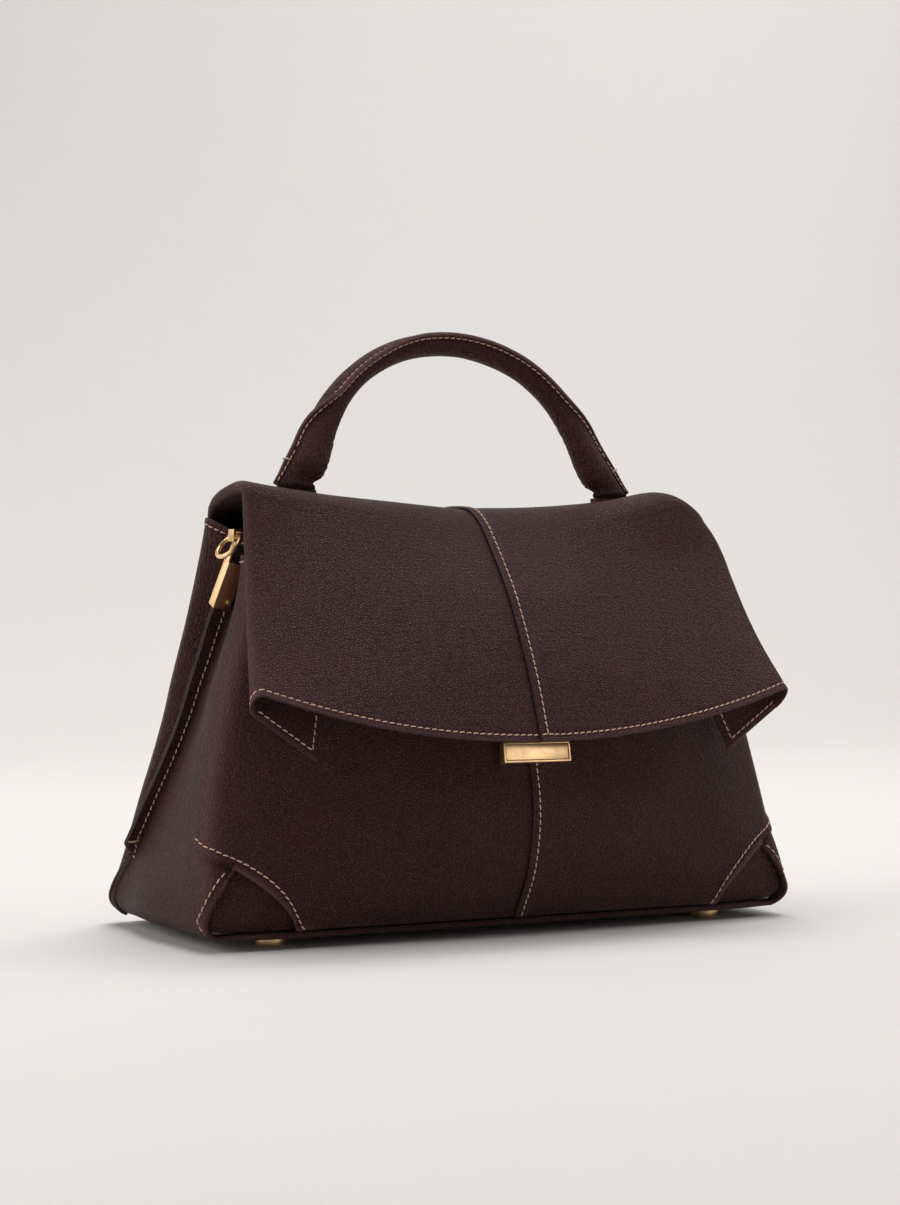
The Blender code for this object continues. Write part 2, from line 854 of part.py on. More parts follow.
def leg_path(share):
    """Centre of the handle over its right half: share 0 is the apex, 1 the top of the tab."""
    radius = handle_arch_share * handle_span / 2
    centre = handle_rise - radius
    foot = Vector((handle_span / 2, 0, 0))
    # The leg leaves the arc where its tangent points at the foot.
    reach = Vector((foot.x, 0, foot.z - centre))
    swing = math.acos(radius / reach.length)
    turn = math.atan2(reach.x, reach.z) - swing
    arc_length = radius * turn
    leg_length = math.sqrt(reach.length ** 2 - radius ** 2) - tab_length
    run = share * (arc_length + leg_length)
    if run <= arc_length:
        a = run / radius
        return Vector((radius * math.sin(a), 0, centre + radius * math.cos(a))), a
    start = Vector((radius * math.sin(turn), 0, centre + radius * math.cos(turn)))
    along = Vector((math.cos(turn), 0, -math.sin(turn)))
    return start + along * (run - arc_length), turn


def tube_ring(centre, turn, width, thickness, frame):
    """Oval ring square to the path: width lies in the handle's plane."""
    side = Vector((math.sin(turn), 0, math.cos(turn)))
    front = Vector((0, 1, 0))
    ring = []
    for k in range(tube_sides):
        a = 2 * math.pi * k / tube_sides
        ring.append(frame @ (centre + side * math.cos(a) * width / 2 + front * math.sin(a) * thickness / 2))
    return ring


def make_handle(parent, skin, stiff, pivot):
    frame = handle_frame()
    for name, inset, hollow, material in (("handle_cover", 0.0, handle_wall, skin),
                                          ("handle_core", handle_wall + gap, 0.0, stiff)):
        rings = []
        for k in range(-handle_steps // 2, handle_steps // 2 + 1):
            share = abs(k) / (handle_steps / 2)
            grow = ease(share, handle_swell_share, 1)
            width = mix(handle_thickness, handle_end_width, grow) - 2 * inset
            thickness = mix(handle_thickness, handle_end_thickness, grow) - 2 * inset
            centre, turn = leg_path(share)
            if k < 0:
                centre.x, turn = -centre.x, -turn
            rings.append(tube_ring(centre, turn, width, thickness, frame))
        loft(name, rings, material, parent, pivot=pivot, hollow=hollow)
    top, turn = leg_path(1)
    down = Vector((math.cos(turn), 0, -math.sin(turn)))
    foot = top + down * tab_length
    rings = []
    for share in even(tab_steps):
        at = mix(gap, tab_length, share)
        flat = ease(share, 0.0, 1.0)
        width = mix(handle_end_width, tab_width, flat)
        thickness = mix(handle_end_thickness, tab_thickness, flat)
        rings.append(tube_ring(top + down * at, math.pi / 2 * flat + turn * (1 - flat), width, thickness, frame))
    half = tab_thickness / 2
    for share in tab_round_shares:
        thickness = 2 * half * math.sqrt(1 - share ** 2)
        rings.append(tube_ring(foot - Vector((0, 0, half * share)), math.pi / 2, tab_width, thickness, frame))
    loft("handle_tab_right", rings, skin, parent, pivot=pivot)
    loft("handle_tab_left", rings, skin, parent, mirror=True, pivot=pivot)


def make_patches(parent, skin, pivot):
    """Leather pads sewn to the roof of the flap under the handle's tabs, with flat tops."""
    low = [[flap_point(q, t, -gap) for q, t in row] for row in pad_grid()]
    high = [[Vector((point.x, point.y, pad_level())) for point in row] for row in low]
    slab("handle_patch_right", low, high, skin, parent, pivot=pivot)
    slab("handle_patch_left", low, high, skin, parent, mirror=True, pivot=pivot)


# Side clamps and rings

def fin_tip(height):
    root = fin_root(height)
    edge = side_x(root.y - half_fin(height), height)
    return Vector((edge + fin_reach(height), root.y, height))


def clamp_frame():
    """Frame at the foot of the clamp's outer face: X out of the bag, Z up along the fin."""
    low = fin_tip(clamp_bottom_share * body_height)
    high = fin_tip(clamp_top_share * body_height)
    up = (high - low).normalized()
    out = (Vector((1, 0, 0)) - up * up.x).normalized()
    across = up.cross(out)
    turn = Matrix((out, across, up)).transposed().to_4x4()
    return Matrix.Translation(low + out * (clamp_clearance + clamp_cap)) @ turn, (high - low).length


def ring_frame():
    """Frame at the middle of the wire inside the right eye: Y along the wire, X away from the bag."""
    frame, length = clamp_frame()
    place = frame @ Vector((eye_out - eye_band - eye_room - gap - ring_wire, 0, length + eye_rise))
    return Matrix.Translation(place) @ Matrix.Rotation(-ring_turn, 4, "Z")


def make_clamp(parent, brass, mirror):
    side = "left" if mirror else "right"
    frame, length = clamp_frame()
    eye = ring_frame()
    flip = Matrix.Scale(-1, 4, Vector((1, 0, 0))) if mirror else Matrix.Identity(4)
    frame = flip @ frame
    eye = flip @ eye
    half = clamp_width / 2
    slot = leather + seam_gap / 2 + clamp_clearance
    block = box_mesh(f"side_clamp_{side}", (-clamp_reach, -half, 0), (0, half, length), frame)
    clamp = add_object(f"side_clamp_{side}", block, brass, parent)
    neck = box_mesh(f"neck_{side}", (neck_inset - clamp_cap, -neck_width / 2, length - neck_foot),
                    (-neck_inset, neck_width / 2, length + eye_rise - ring_wire - gap - eye_room), frame)
    combine(clamp, helper(f"neck_{side}", neck, parent), "UNION")
    cut = box_mesh(f"clamp_slot_{side}", (-2 * clamp_reach, -slot, -length), (-clamp_cap, slot, 2 * length), frame)
    combine(clamp, helper(f"clamp_slot_{side}", cut, parent), "DIFFERENCE")
    room = ring_wire + gap
    wide = room + eye_room
    loop = box_mesh(f"eye_{side}", (-room - eye_band, -eye_width / 2, -wide - eye_band),
                    (wide + eye_band, eye_width / 2, room + eye_band), eye)
    combine(clamp, helper(f"eye_{side}", loop, parent), "UNION")
    hole = box_mesh(f"eye_hole_{side}", (-room, -eye_width, -wide), (wide, eye_width, room), eye)
    combine(clamp, helper(f"eye_hole_{side}", hole, parent), "DIFFERENCE")
    middle = Vector((-rivet_inset, 0, rivet_rise))
    face, wall = Vector((0, -half, 0)), Vector((0, -slot, 0))
    bore = rod_mesh(f"rivet_bore_{side}", frame @ (middle + 2 * face), frame @ middle,
                    rivet_shank_radius + gap, round_steps // 2)
    combine(clamp, helper(f"rivet_bore_{side}", bore, parent), "DIFFERENCE")
    head = Vector((0, -gap, 0))
    profile = ((rivet_shank_radius, middle + wall), (rivet_shank_radius, middle + face + head),
               (rivet_radius, middle + face + head), (rivet_radius, middle + face + head - Vector((0, rivet_head, 0))))
    rings = [[frame @ (centre + radius * Vector((math.cos(a), 0, math.sin(a))))
              for a in (2 * math.pi * k / round_steps for k in range(round_steps))]
             for radius, centre in profile]
    loft(f"clamp_rivet_{side}", rings, brass, parent)


def make_ring(parent, brass, mirror):
    """Round ring hanging from its eye, tilted out and down."""
    side = "left" if mirror else "right"
    frame = ring_frame()
    pivot = frame.translation
    axis = frame.to_3x3() @ Vector((0, 1, 0))
    down = frame.to_3x3() @ Vector((math.cos(ring_tilt), 0, -math.sin(ring_tilt)))
    centre = pivot + down * ring_radius
    normal = axis.cross(down)
    rings = []
    for k in range(ring_steps):
        a = 2 * math.pi * k / ring_steps
        spoke = axis * math.cos(a) + down * math.sin(a)
        rings.append([centre + spoke * (ring_radius + ring_wire * math.cos(b)) + normal * ring_wire * math.sin(b)
                      for b in (2 * math.pi * j / wire_sides for j in range(wire_sides))])
    place = Vector((-pivot.x if mirror else pivot.x, pivot.y, pivot.z))
    swing = add_empty(f"ring_swing_{side}", parent, place)
    ring_solid(f"strap_ring_{side}", rings, brass, swing, mirror, pivot=place)


# Clasp

def clasp_frame():
    """Frame on the front seam: X right, Y into the bag, Z up the leaning front; origin at mid height."""
    top = clasp_top_share * body_height
    low = top - clasp_height
    high_point = Vector((0, face_y(0, top, True), top))
    low_point = Vector((0, face_y(0, low, True), low))
    up = (high_point - low_point).normalized()
    inward = up.cross(Vector((1, 0, 0)))
    turn = Matrix((Vector((1, 0, 0)), inward, up)).transposed().to_4x4()
    return Matrix.Translation((high_point + low_point) / 2 - inward * gap) @ turn


def clasp_box(name, frame, width, height, front, back, rise=0.0):
    """Box centred on the clasp, from a front to a back depth."""
    return box_mesh(name, (-width / 2, front, rise - height / 2), (width / 2, back, rise + height / 2), frame)


def keeper_frame():
    """Frame on the inner face of the flap's keeper: X right, Y out through the flap, Z up it."""
    depth = flap_lining_depth + lining_thickness + gap + keeper_thickness
    high = flap_point(0, keeper_high_share)
    low = flap_point(0, 1)
    up = (high - low).normalized()
    outward = up.cross(Vector((1, 0, 0))) * -1
    turn = Matrix((Vector((1, 0, 0)), outward, up)).transposed().to_4x4()
    return Matrix.Translation(high.lerp(low, keeper_place_share) - outward * depth) @ turn


def stud_line():
    """Seat of the stud on the clasp's tail, its direction and where it meets the keeper."""
    frame = clasp_frame()
    target = keeper_frame()
    seat = frame @ Vector((0, 0, stud_rise))
    line = frame.to_3x3() @ Vector((0, -1, 0))
    normal = target.to_3x3() @ Vector((0, 1, 0))
    return seat, line, (target.translation - seat).dot(normal) / line.dot(normal)


def make_clasp(parent, brass):
    frame = clasp_frame()
    width, height = clasp_width, clasp_height
    housing = add_object("clasp_housing", clasp_box("clasp_housing", frame, width, height, -clasp_depth, 0),
                         brass, parent)
    tail = clasp_box("clasp_tail", frame, tail_width, tail_height, -tail_inset - tail_thickness, -tail_inset,
                     rise=tail_height / 2)
    combine(housing, helper("clasp_tail", tail, parent), "UNION")
    pocket = clasp_box("clasp_pocket", frame, width - 2 * clasp_rim, height - 2 * clasp_rim, -2 * clasp_depth,
                       -clasp_floor)
    combine(housing, helper("clasp_pocket", pocket, parent), "DIFFERENCE")
    seat, line, reach = stud_line()
    bore = rod_mesh("stud_bore", seat - line * clasp_depth, seat + line * clasp_depth, stud_shank_radius + gap,
                    round_steps // 2)
    combine(housing, helper("stud_bore", bore, parent), "DIFFERENCE")
    side = Vector((1, 0, 0))
    other = line.cross(side)
    shoulder = tail_inset + tail_thickness + gap
    profile = ((stud_shank_radius, tail_inset + gap), (stud_shank_radius, shoulder), (stud_radius, shoulder),
               (stud_radius, reach + stud_entry))
    rings = [[seat + line * run + radius * (side * math.cos(a) + other * math.sin(a))
              for a in (2 * math.pi * k / round_steps for k in range(round_steps))]
             for radius, run in profile]
    loft("clasp_stud", rings, brass, parent)
    back = leather + 3 * gap
    plate = clasp_box("clasp_backplate", frame, backplate_width, height, back, back + backplate_thickness)
    add_object("clasp_backplate", plate, brass, parent)
    crest = -clasp_depth + button_inset + button_thickness + button_travel + gap
    rest = -clasp_floor - gap - spring_strip
    grid = [[frame @ Vector((mix(-spring_length / 2, spring_length / 2, t),
                             mix(rest, crest, math.sin(math.pi * t)), z))
             for t in even(spring_steps)] for z in (-spring_width / 2, spring_width / 2)]
    sheet("clasp_spring", grid, spring_strip, brass, parent)
    face = -clasp_depth + button_inset
    place = frame @ Vector((0, face, 0))
    press = add_empty("clasp_press", parent, place)
    button = clasp_box("clasp_button", frame, width - 2 * clasp_rim - 2 * gap, height - 2 * clasp_rim - 2 * gap,
                       face, face + button_thickness)
    add_object("clasp_button", button, brass, press, pivot=place)


def make_keeper(parent, brass, pivot):
    frame = keeper_frame()
    plate = clasp_box("flap_keeper", frame, keeper_width, keeper_height, 0, keeper_thickness)
    keeper = add_object("flap_keeper", plate, brass, parent, pivot)
    seat, line, reach = stud_line()
    out = frame.to_3x3() @ Vector((0, keeper_thickness, 0))
    middle = seat + line * reach
    hole = rod_mesh("keeper_hole", middle - out, middle + 2 * out, stud_radius + keeper_clearance, round_steps)
    combine(keeper, helper("keeper_hole", hole, parent), "DIFFERENCE")


# Whole bag

def build():
    clear_scene()
    skin = make_material("pebbled_leather", leather_brown, 0.55)
    suede = make_material("suede_lining", suede_brown, 0.9)
    stiff = make_material("stiffening_board", board_grey, 0.8)
    brass = make_material("satin_brass", brass_gold, 0.3, 1.0)
    front_reach = -flap_shares[-1][1] * base_depth / 2
    back_reach = body_shares[0][-1] * base_depth / 2 + base_overhang
    base_shift = Vector((0, (front_reach - back_reach) / 2, 0))
    bag = add_empty("bag", None, base_shift)
    make_panels(bag, skin)
    make_corners(bag, skin)
    board_top = make_base(bag, skin, stiff)
    make_feet(bag, brass, board_top)
    make_lining(bag, suede, board_top)
    hinge = Vector((0, flap_shares[0][1] * base_depth / 2, body_height + gap))
    flap = add_empty("flap_hinge", bag, hinge)
    make_flap(flap, skin, suede, hinge)
    make_patches(flap, skin, hinge)
    handle_axis = handle_frame().translation
    handle = add_empty("handle_fold", flap, handle_axis)
    make_handle(handle, skin, stiff, handle_axis)
    make_keeper(flap, brass, hinge)
    make_clasp(bag, brass)
    for mirror in (True, False):
        make_clamp(bag, brass, mirror)
        make_ring(bag, brass, mirror)


build()
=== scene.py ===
import json
import math

import bmesh
import bpy
import numpy as np
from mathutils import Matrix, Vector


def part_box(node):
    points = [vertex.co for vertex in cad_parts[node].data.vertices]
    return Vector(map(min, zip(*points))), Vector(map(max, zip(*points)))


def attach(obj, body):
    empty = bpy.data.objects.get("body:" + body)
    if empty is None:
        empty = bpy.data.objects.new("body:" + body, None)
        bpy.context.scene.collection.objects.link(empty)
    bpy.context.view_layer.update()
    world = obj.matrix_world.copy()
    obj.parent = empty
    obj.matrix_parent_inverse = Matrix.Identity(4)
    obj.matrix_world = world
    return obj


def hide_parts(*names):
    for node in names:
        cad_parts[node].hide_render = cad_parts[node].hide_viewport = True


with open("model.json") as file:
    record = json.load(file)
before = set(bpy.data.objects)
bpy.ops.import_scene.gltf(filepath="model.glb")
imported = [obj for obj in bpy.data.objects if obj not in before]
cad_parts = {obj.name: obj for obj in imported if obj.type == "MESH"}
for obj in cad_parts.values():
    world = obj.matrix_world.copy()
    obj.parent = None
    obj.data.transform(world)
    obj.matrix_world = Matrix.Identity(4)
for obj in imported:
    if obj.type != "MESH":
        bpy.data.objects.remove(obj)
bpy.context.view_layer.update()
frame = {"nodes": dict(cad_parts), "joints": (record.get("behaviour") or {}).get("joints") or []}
print("bag: frame loaded")

mm = 0.001
tau = 2 * math.pi


# Numbers and curves

def ease(value, low, high):
    # Smooth step 3t^2 - 2t^3 of the share t between low and high.
    share = np.clip((value - low) / (high - low), 0, 1)
    return share * share * (3 - 2 * share)


def mix(low, high, share):
    return low + (high - low) * share


def hill(value, middle, width):
    # Bell curve exp(-((value - middle) / width)^2).
    return np.exp(-((value - middle) / width) ** 2)


def unit(vectors):
    return vectors / np.maximum(np.linalg.norm(vectors, axis=-1, keepdims=True), 1e-12)


def stops(start, *runs):
    # Rising values from start; each run gives its end and its number of steps.
    values = [np.array([start], float)]
    for end, count in runs:
        values.append(np.linspace(values[-1][-1], end, count + 1)[1:])
    return np.concatenate(values)


def point(x, y, z):
    return np.stack(np.broadcast_arrays(x, y, z), axis=-1).astype(float)


def follow(rows, place):
    # Cubic through rows of (place, values): its slope at a row is that between its neighbours.
    rows = np.array(rows, float)
    knots, values = rows[:, 0], rows[:, 1:]
    place = np.clip(place, knots[0], knots[-1])
    last = len(knots) - 1
    k = np.minimum(np.searchsorted(knots[1:], place), last - 1)
    after, before = np.minimum(np.arange(last + 1) + 1, last), np.maximum(np.arange(last + 1) - 1, 0)
    slope = (values[after] - values[before]) / (knots[after] - knots[before])[:, None]
    run = (knots[k + 1] - knots[k])[..., None]
    t = (place - knots[k])[..., None] / run
    a, b, m, n = values[k], values[k + 1], slope[k] * run, slope[k + 1] * run
    made = a + t * (m + t * (3 * (b - a) - 2 * m - n + t * (2 * (a - b) + m + n)))
    return [made[..., i] for i in range(made.shape[-1])]


def wander(seed, u, v, size):
    # Smooth random field from -1 to 1: eased mixing of the corners of a seeded square lattice.
    count = 256
    lattice = np.random.default_rng(seed).uniform(-1, 1, (count, count))
    u, v = u / size, v / size
    i, j = np.floor(u).astype(int), np.floor(v).astype(int)
    s, t = ease(u - i, 0, 1), ease(v - j, 0, 1)
    low = mix(lattice[i % count, j % count], lattice[(i + 1) % count, j % count], s)
    high = mix(lattice[i % count, (j + 1) % count], lattice[(i + 1) % count, (j + 1) % count], s)
    return mix(low, high, t)


def facing(grid):
    # Unit normals of a grid: the columns' direction crossed with the rows' direction.
    return unit(np.cross(np.gradient(grid, axis=1), np.gradient(grid, axis=0)))


def travelled(grid, axis):
    # Length along the rows or the columns from the first one.
    steps = np.linalg.norm(np.diff(grid, axis=axis), axis=-1)
    return np.insert(np.cumsum(steps, axis=axis), 0, 0, axis=axis)


def lifted(grid, height, side=1):
    # The grid moved along its normals by a height at each point; side -1 is for a grid that faces in.
    return grid + facing(grid) * (side * height)[..., None]


def onGrid(sheet, across, upward):
    # Points and normals at fractional places on a finished sheet, by mixing its four neighbours.
    grid, normal = sheet["grid"], sheet["normal"]
    c = np.interp(across, sheet["columns"], np.arange(grid.shape[1]))
    r = np.interp(upward, sheet["rows"], np.arange(grid.shape[0]))
    i, j = np.minimum(r.astype(int), grid.shape[0] - 2), np.minimum(c.astype(int), grid.shape[1] - 2)
    s, t = (r - i)[..., None], (c - j)[..., None]

    def at(table):
        return mix(mix(table[i, j], table[i, j + 1], t), mix(table[i + 1, j], table[i + 1, j + 1], t), s)
    return at(grid), unit(at(normal))


# Materials: a wire is a socket that works in sums, and a paint is one material

class Wire:
    def __init__(self, paint, socket):
        self.paint, self.socket = paint, socket

    def maths(self, operation, *others):
        return self.paint.node("ShaderNodeMath", {"operation": operation}, others)

    def __add__(self, other): return self.maths("ADD", self, other)

    def __sub__(self, other): return self.maths("SUBTRACT", self, other)

    def __mul__(self, other): return self.maths("MULTIPLY", self, other)

    def __rsub__(self, other): return self.maths("SUBTRACT", other, self)

    __radd__, __rmul__ = __add__, __mul__


class Paint:
    def __init__(self, name, colour, roughness, metallic=0.0):
        self.material = bpy.data.materials.new(name)
        self.material.use_nodes = True
        self.material.diffuse_color = (*colour, 1)
        self.tree = self.material.node_tree
        self.shader = self.tree.nodes["Principled BSDF"]
        self.set(self.shader, {"Base Color": (*colour, 1), "Roughness": roughness, "Metallic": metallic})
        self.place = self.node("ShaderNodeTexCoord", output="Object")

    def set(self, node, values):
        for key, value in values.items():
            if isinstance(value, Wire):
                self.tree.links.new(value.socket, node.inputs[key])
            else:
                node.inputs[key].default_value = value

    def node(self, kind, settings=None, values=None, output=0):
        made = self.tree.nodes.new(kind)
        for key, value in (settings or {}).items():
            setattr(made, key, value)
        self.set(made, values if isinstance(values, dict) else dict(enumerate(values or ())))
        return Wire(self, made.outputs[output])

    def noise(self, size, detail=2.0, vector=None, output="Fac"):
        return self.node("ShaderNodeTexNoise", None,
                         {"Vector": vector or self.place, "Scale": 1 / size, "Detail": detail}, output)

    def ramp(self, value, low, high, start=0.0, end=1.0):
        return self.node("ShaderNodeMapRange", {"interpolation_type": "SMOOTHSTEP"},
                         {"Value": value, "From Min": low, "From Max": high, "To Min": start, "To Max": end})

    def tint(self, share, low, high):
        low, high = [v if isinstance(v, Wire) else (*v, 1) for v in (low, high)]
        return self.node("ShaderNodeMix", {"data_type": "RGBA"}, {0: share, 6: low, 7: high}, output=2)

    def moved(self, vector, scale):
        return self.node("ShaderNodeVectorMath", {"operation": "MULTIPLY"}, (vector, scale))

    def bump(self, height, distance, strength=1.0):
        values = {"Height": height, "Distance": distance, "Strength": strength}
        self.set(self.shader, {"Normal": self.node("ShaderNodeBump", None, values)})

    def attribute(self, name):
        return self.node("ShaderNodeAttribute", {"attribute_name": name}, output="Fac")


# The valley colour is painted shade for the pebbles' sunken borders.
leatherLook = {"tone": (0.0985, 0.0352, 0.0313), "valley": (0.0260, 0.0088, 0.0080),
               "worn": (0.140, 0.068, 0.060), "pebble": 1.45 * mm, "relief": 0.55 * mm,
               "flat": (1.0, 1.0, 1.35), "drift": 0.8, "driftSize": 2.2, "wrinkle": 2.3 * mm,
               "wrinkleTurn": (0.6, 0.5, 0.2), "wrinkleStretch": (1.0, 1.0, 0.30),
               "mottle": 26 * mm, "swell": 5 * mm, "pores": 0.22 * mm, "specular": 0.11, "sheen": 0.03}


def makeLeather(name, tone, relief, roughness):
    # Pebbles are cells with sunken borders on drifting coordinates, and those borders are painted darker as
    # painted shade; creases stretch where the sheet's crease value is high, and edges lighten where its wear
    # value is high.
    look = leatherLook
    paint = Paint(name, tone, roughness)
    paint.set(paint.shader, {"Specular IOR Level": look["specular"], "Sheen Weight": look["sheen"],
                             "Sheen Roughness": 0.6})
    drift = paint.noise(look["driftSize"] * look["pebble"], 1, output="Color")
    bent = paint.node("ShaderNodeVectorMath", {"operation": "MULTIPLY_ADD"},
                      (drift, (look["drift"] * look["pebble"],) * 3, paint.moved(paint.place, look["flat"])))
    cells = paint.node("ShaderNodeTexVoronoi", {"feature": "DISTANCE_TO_EDGE"},
                       {"Vector": bent, "Scale": 1 / look["pebble"], "Randomness": 0.85}, output="Distance")
    dome = paint.ramp(cells, -0.04, 0.42)
    broad = paint.noise(look["mottle"], 2)
    middle = paint.noise(look["swell"], 3)
    fine = paint.noise(look["pores"], 2)
    turned = paint.node("ShaderNodeMapping", None, {"Vector": bent, "Rotation": look["wrinkleTurn"],
                                                    "Scale": look["wrinkleStretch"]})
    folds = paint.node("ShaderNodeTexVoronoi", {"feature": "DISTANCE_TO_EDGE"},
                       {"Vector": turned, "Scale": 1 / look["wrinkle"]}, output="Distance")
    crease = paint.attribute("crease")
    furrow = paint.ramp(folds, 0.0, 0.34)
    height = dome * (1.0 - crease * 0.45) + furrow * crease * 1.3 + fine * 0.06 + middle * 0.4
    # Painted shade: the pebbles' sunken borders take the darker valley colour, mixed with broad random mottle
    # of the tone.
    depth = dome * 0.80 + broad * 0.26
    colour = paint.tint(paint.ramp(depth, 0.0, 1.05), look["valley"], tone)
    colour = paint.tint(paint.attribute("wear") * (0.55 + middle * 0.5), colour, look["worn"])
    paint.set(paint.shader, {"Base Color": colour,
                             "Roughness": roughness + (1.0 - dome) * 0.20 + (broad - 0.5) * 0.10})
    paint.bump(height, relief)
    return paint.material


def makeEdgePaint():
    # Smooth painted edge with faint waves from the brush.
    paint = Paint("edgePaint", (0.038, 0.016, 0.015), 0.5)
    paint.set(paint.shader, {"Specular IOR Level": 0.25})
    wave = paint.noise(1.4 * mm, 2)
    paint.set(paint.shader, {"Base Color": paint.tint(wave, (0.028, 0.011, 0.010), (0.046, 0.020, 0.018)),
                             "Roughness": 0.42 + wave * 0.14})
    paint.bump(wave, 0.10 * mm, 0.6)
    return paint.material


def makeSuede():
    # Brushed nap: soft mottling and a fine fibre relief.
    paint = Paint("suedeLining", (0.050, 0.031, 0.025), 0.92)
    paint.set(paint.shader, {"Sheen Weight": 0.35, "Sheen Roughness": 0.5, "Specular IOR Level": 0.2})
    nap, brush = paint.noise(0.45 * mm, 4), paint.noise(14 * mm, 3)
    mottle = paint.ramp(nap * 0.4 + brush * 0.6, 0.3, 0.7)
    colour = paint.tint(mottle, (0.034, 0.020, 0.017), (0.070, 0.045, 0.036))
    paint.set(paint.shader, {"Base Color": colour})
    paint.bump(nap, 0.20 * mm, 0.8)
    return paint.material


def makeThread():
    # Waxed linen: fine twist and small changes of shade along the thread.
    paint = Paint("linenThread", (0.52, 0.34, 0.20), 0.6)
    twist = paint.noise(0.25 * mm, 2)
    shade = paint.noise(6 * mm, 1)
    colour = paint.tint(twist * 0.6 + shade * 0.4, (0.46, 0.27, 0.16), (0.92, 0.66, 0.46))
    paint.set(paint.shader, {"Base Color": colour, "Roughness": 0.5 + twist * 0.25})
    paint.bump(twist, 0.10 * mm, 0.7)
    return paint.material


def makeBrass(name, grain, tone):
    # Satin metal: brushed streaks in the relief and the gloss, with a little tarnish.
    paint = Paint(name, tone, 0.3, 1.0)
    streaks = paint.noise(0.35 * mm, 3, paint.moved(paint.place, grain))
    tarnish = paint.ramp(paint.noise(3.5 * mm, 3), 0.35, 0.75)
    dark = tuple(0.80 * c for c in tone)
    paint.set(paint.shader, {"Base Color": paint.tint(tarnish * 0.55, tone, dark),
                             "Roughness": 0.24 + streaks * 0.14 + tarnish * 0.06})
    paint.bump(streaks, 0.012 * mm, 0.7)
    return paint.material


def makeBoard():
    # Pressed fibre board: long pale flecks in grey brown.
    paint = Paint("fibreBoard", (0.22, 0.20, 0.18), 0.8)
    fibre = paint.noise(1.2 * mm, 4, paint.moved(paint.place, (0.25, 1.0, 1.0)))
    paint.set(paint.shader, {"Base Color": paint.tint(fibre, (0.13, 0.11, 0.09), (0.30, 0.27, 0.22)),
                             "Roughness": 0.7 + fibre * 0.2})
    paint.bump(fibre, 0.15 * mm, 0.6)
    return paint.material


def makeCotton():
    # Cotton cord: fine fibres over its twist.
    paint = Paint("cottonCord", (0.42, 0.34, 0.24), 0.85)
    fibre = paint.noise(0.5 * mm, 3)
    paint.set(paint.shader, {"Base Color": paint.tint(fibre, (0.28, 0.22, 0.15), (0.55, 0.47, 0.35)),
                             "Roughness": 0.75 + fibre * 0.2})
    paint.bump(fibre, 0.15 * mm, 0.6)
    return paint.material


pebbled = makeLeather("pebbledLeather", leatherLook["tone"], leatherLook["relief"], 0.40)
smoothed = makeLeather("leatherTrim", leatherLook["tone"], 0.55 * leatherLook["relief"], 0.42)
edgePaint, suede, thread = makeEdgePaint(), makeSuede(), makeThread()
satinBrass = makeBrass("satinBrass", (0.2, 1.0, 1.0), (0.93, 0.62, 0.33))
deepBrass = makeBrass("darkBrass", (1.0, 1.0, 0.2), (0.62, 0.42, 0.20))
board, cotton = makeBoard(), makeCotton()
print("bag: materials made")


# Meshes

def linked(name, data):
    thing = bpy.data.objects.new(name, data)
    bpy.context.scene.collection.objects.link(thing)
    return thing


def addPiece(name, points, blocks, kinds, paints, body, nodes=(), fields=None):
    # One mesh from points and tables of faces; kinds is the number of the paint of each table's faces.
    mesh = bpy.data.meshes.new(name)
    sizes = np.concatenate([np.full(len(block), block.shape[1]) for block in blocks])
    corners = np.concatenate([block.ravel() for block in blocks]).astype(np.int32)
    paintOf = np.concatenate([np.full(len(block), kind) for block, kind in zip(blocks, kinds)])
    mesh.vertices.add(len(points))
    mesh.vertices.foreach_set("co", np.ascontiguousarray(points, dtype=np.float32).ravel())
    mesh.loops.add(len(corners))
    mesh.loops.foreach_set("vertex_index", corners)
    mesh.polygons.add(len(sizes))
    mesh.polygons.foreach_set("loop_start", np.insert(np.cumsum(sizes), 0, 0)[:-1].astype(np.int32))
    for paint in paints:
        mesh.materials.append(paint)
    mesh.polygons.foreach_set("material_index", paintOf.astype(np.int32))
    mesh.polygons.foreach_set("use_smooth", np.ones(len(sizes), bool))
    mesh.update(calc_edges=True)
    mesh.set_sharp_from_angle(angle=math.radians(52))
    for field, values in (fields or {}).items():
        mesh.attributes.new(field, "FLOAT", "POINT").data.foreach_set("value", values.astype(np.float32))
    thing = linked(name, mesh)
    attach(thing, body)
    if nodes:
        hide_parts(*nodes)
    return thing


def quads(rows, columns, closed=False):
    # Faces of a grid of rows and columns; a closed grid joins its last column to its first.
    r, c = np.meshgrid(np.arange(rows - 1), np.arange(columns if closed else columns - 1), indexing="ij")
    d = (c + 1) % columns
    low, high = r * columns, (r + 1) * columns
    return np.stack([low + c, low + d, high + d, high + c], -1).reshape(-1, 4)


def evenly(rings, crease=0.0, wear=0.0):
    # The leather's crease and wear, the same at every point of a piece made of rings.
    count = rings.shape[0] * rings.shape[1]
    return {"crease": np.full(count, crease), "wear": np.full(count, wear)}


def flipped(grid):
    # The grid's mirror image across the bag's middle, its columns turned round so that it faces out.
    return grid[:, ::-1] * (-1, 1, 1)


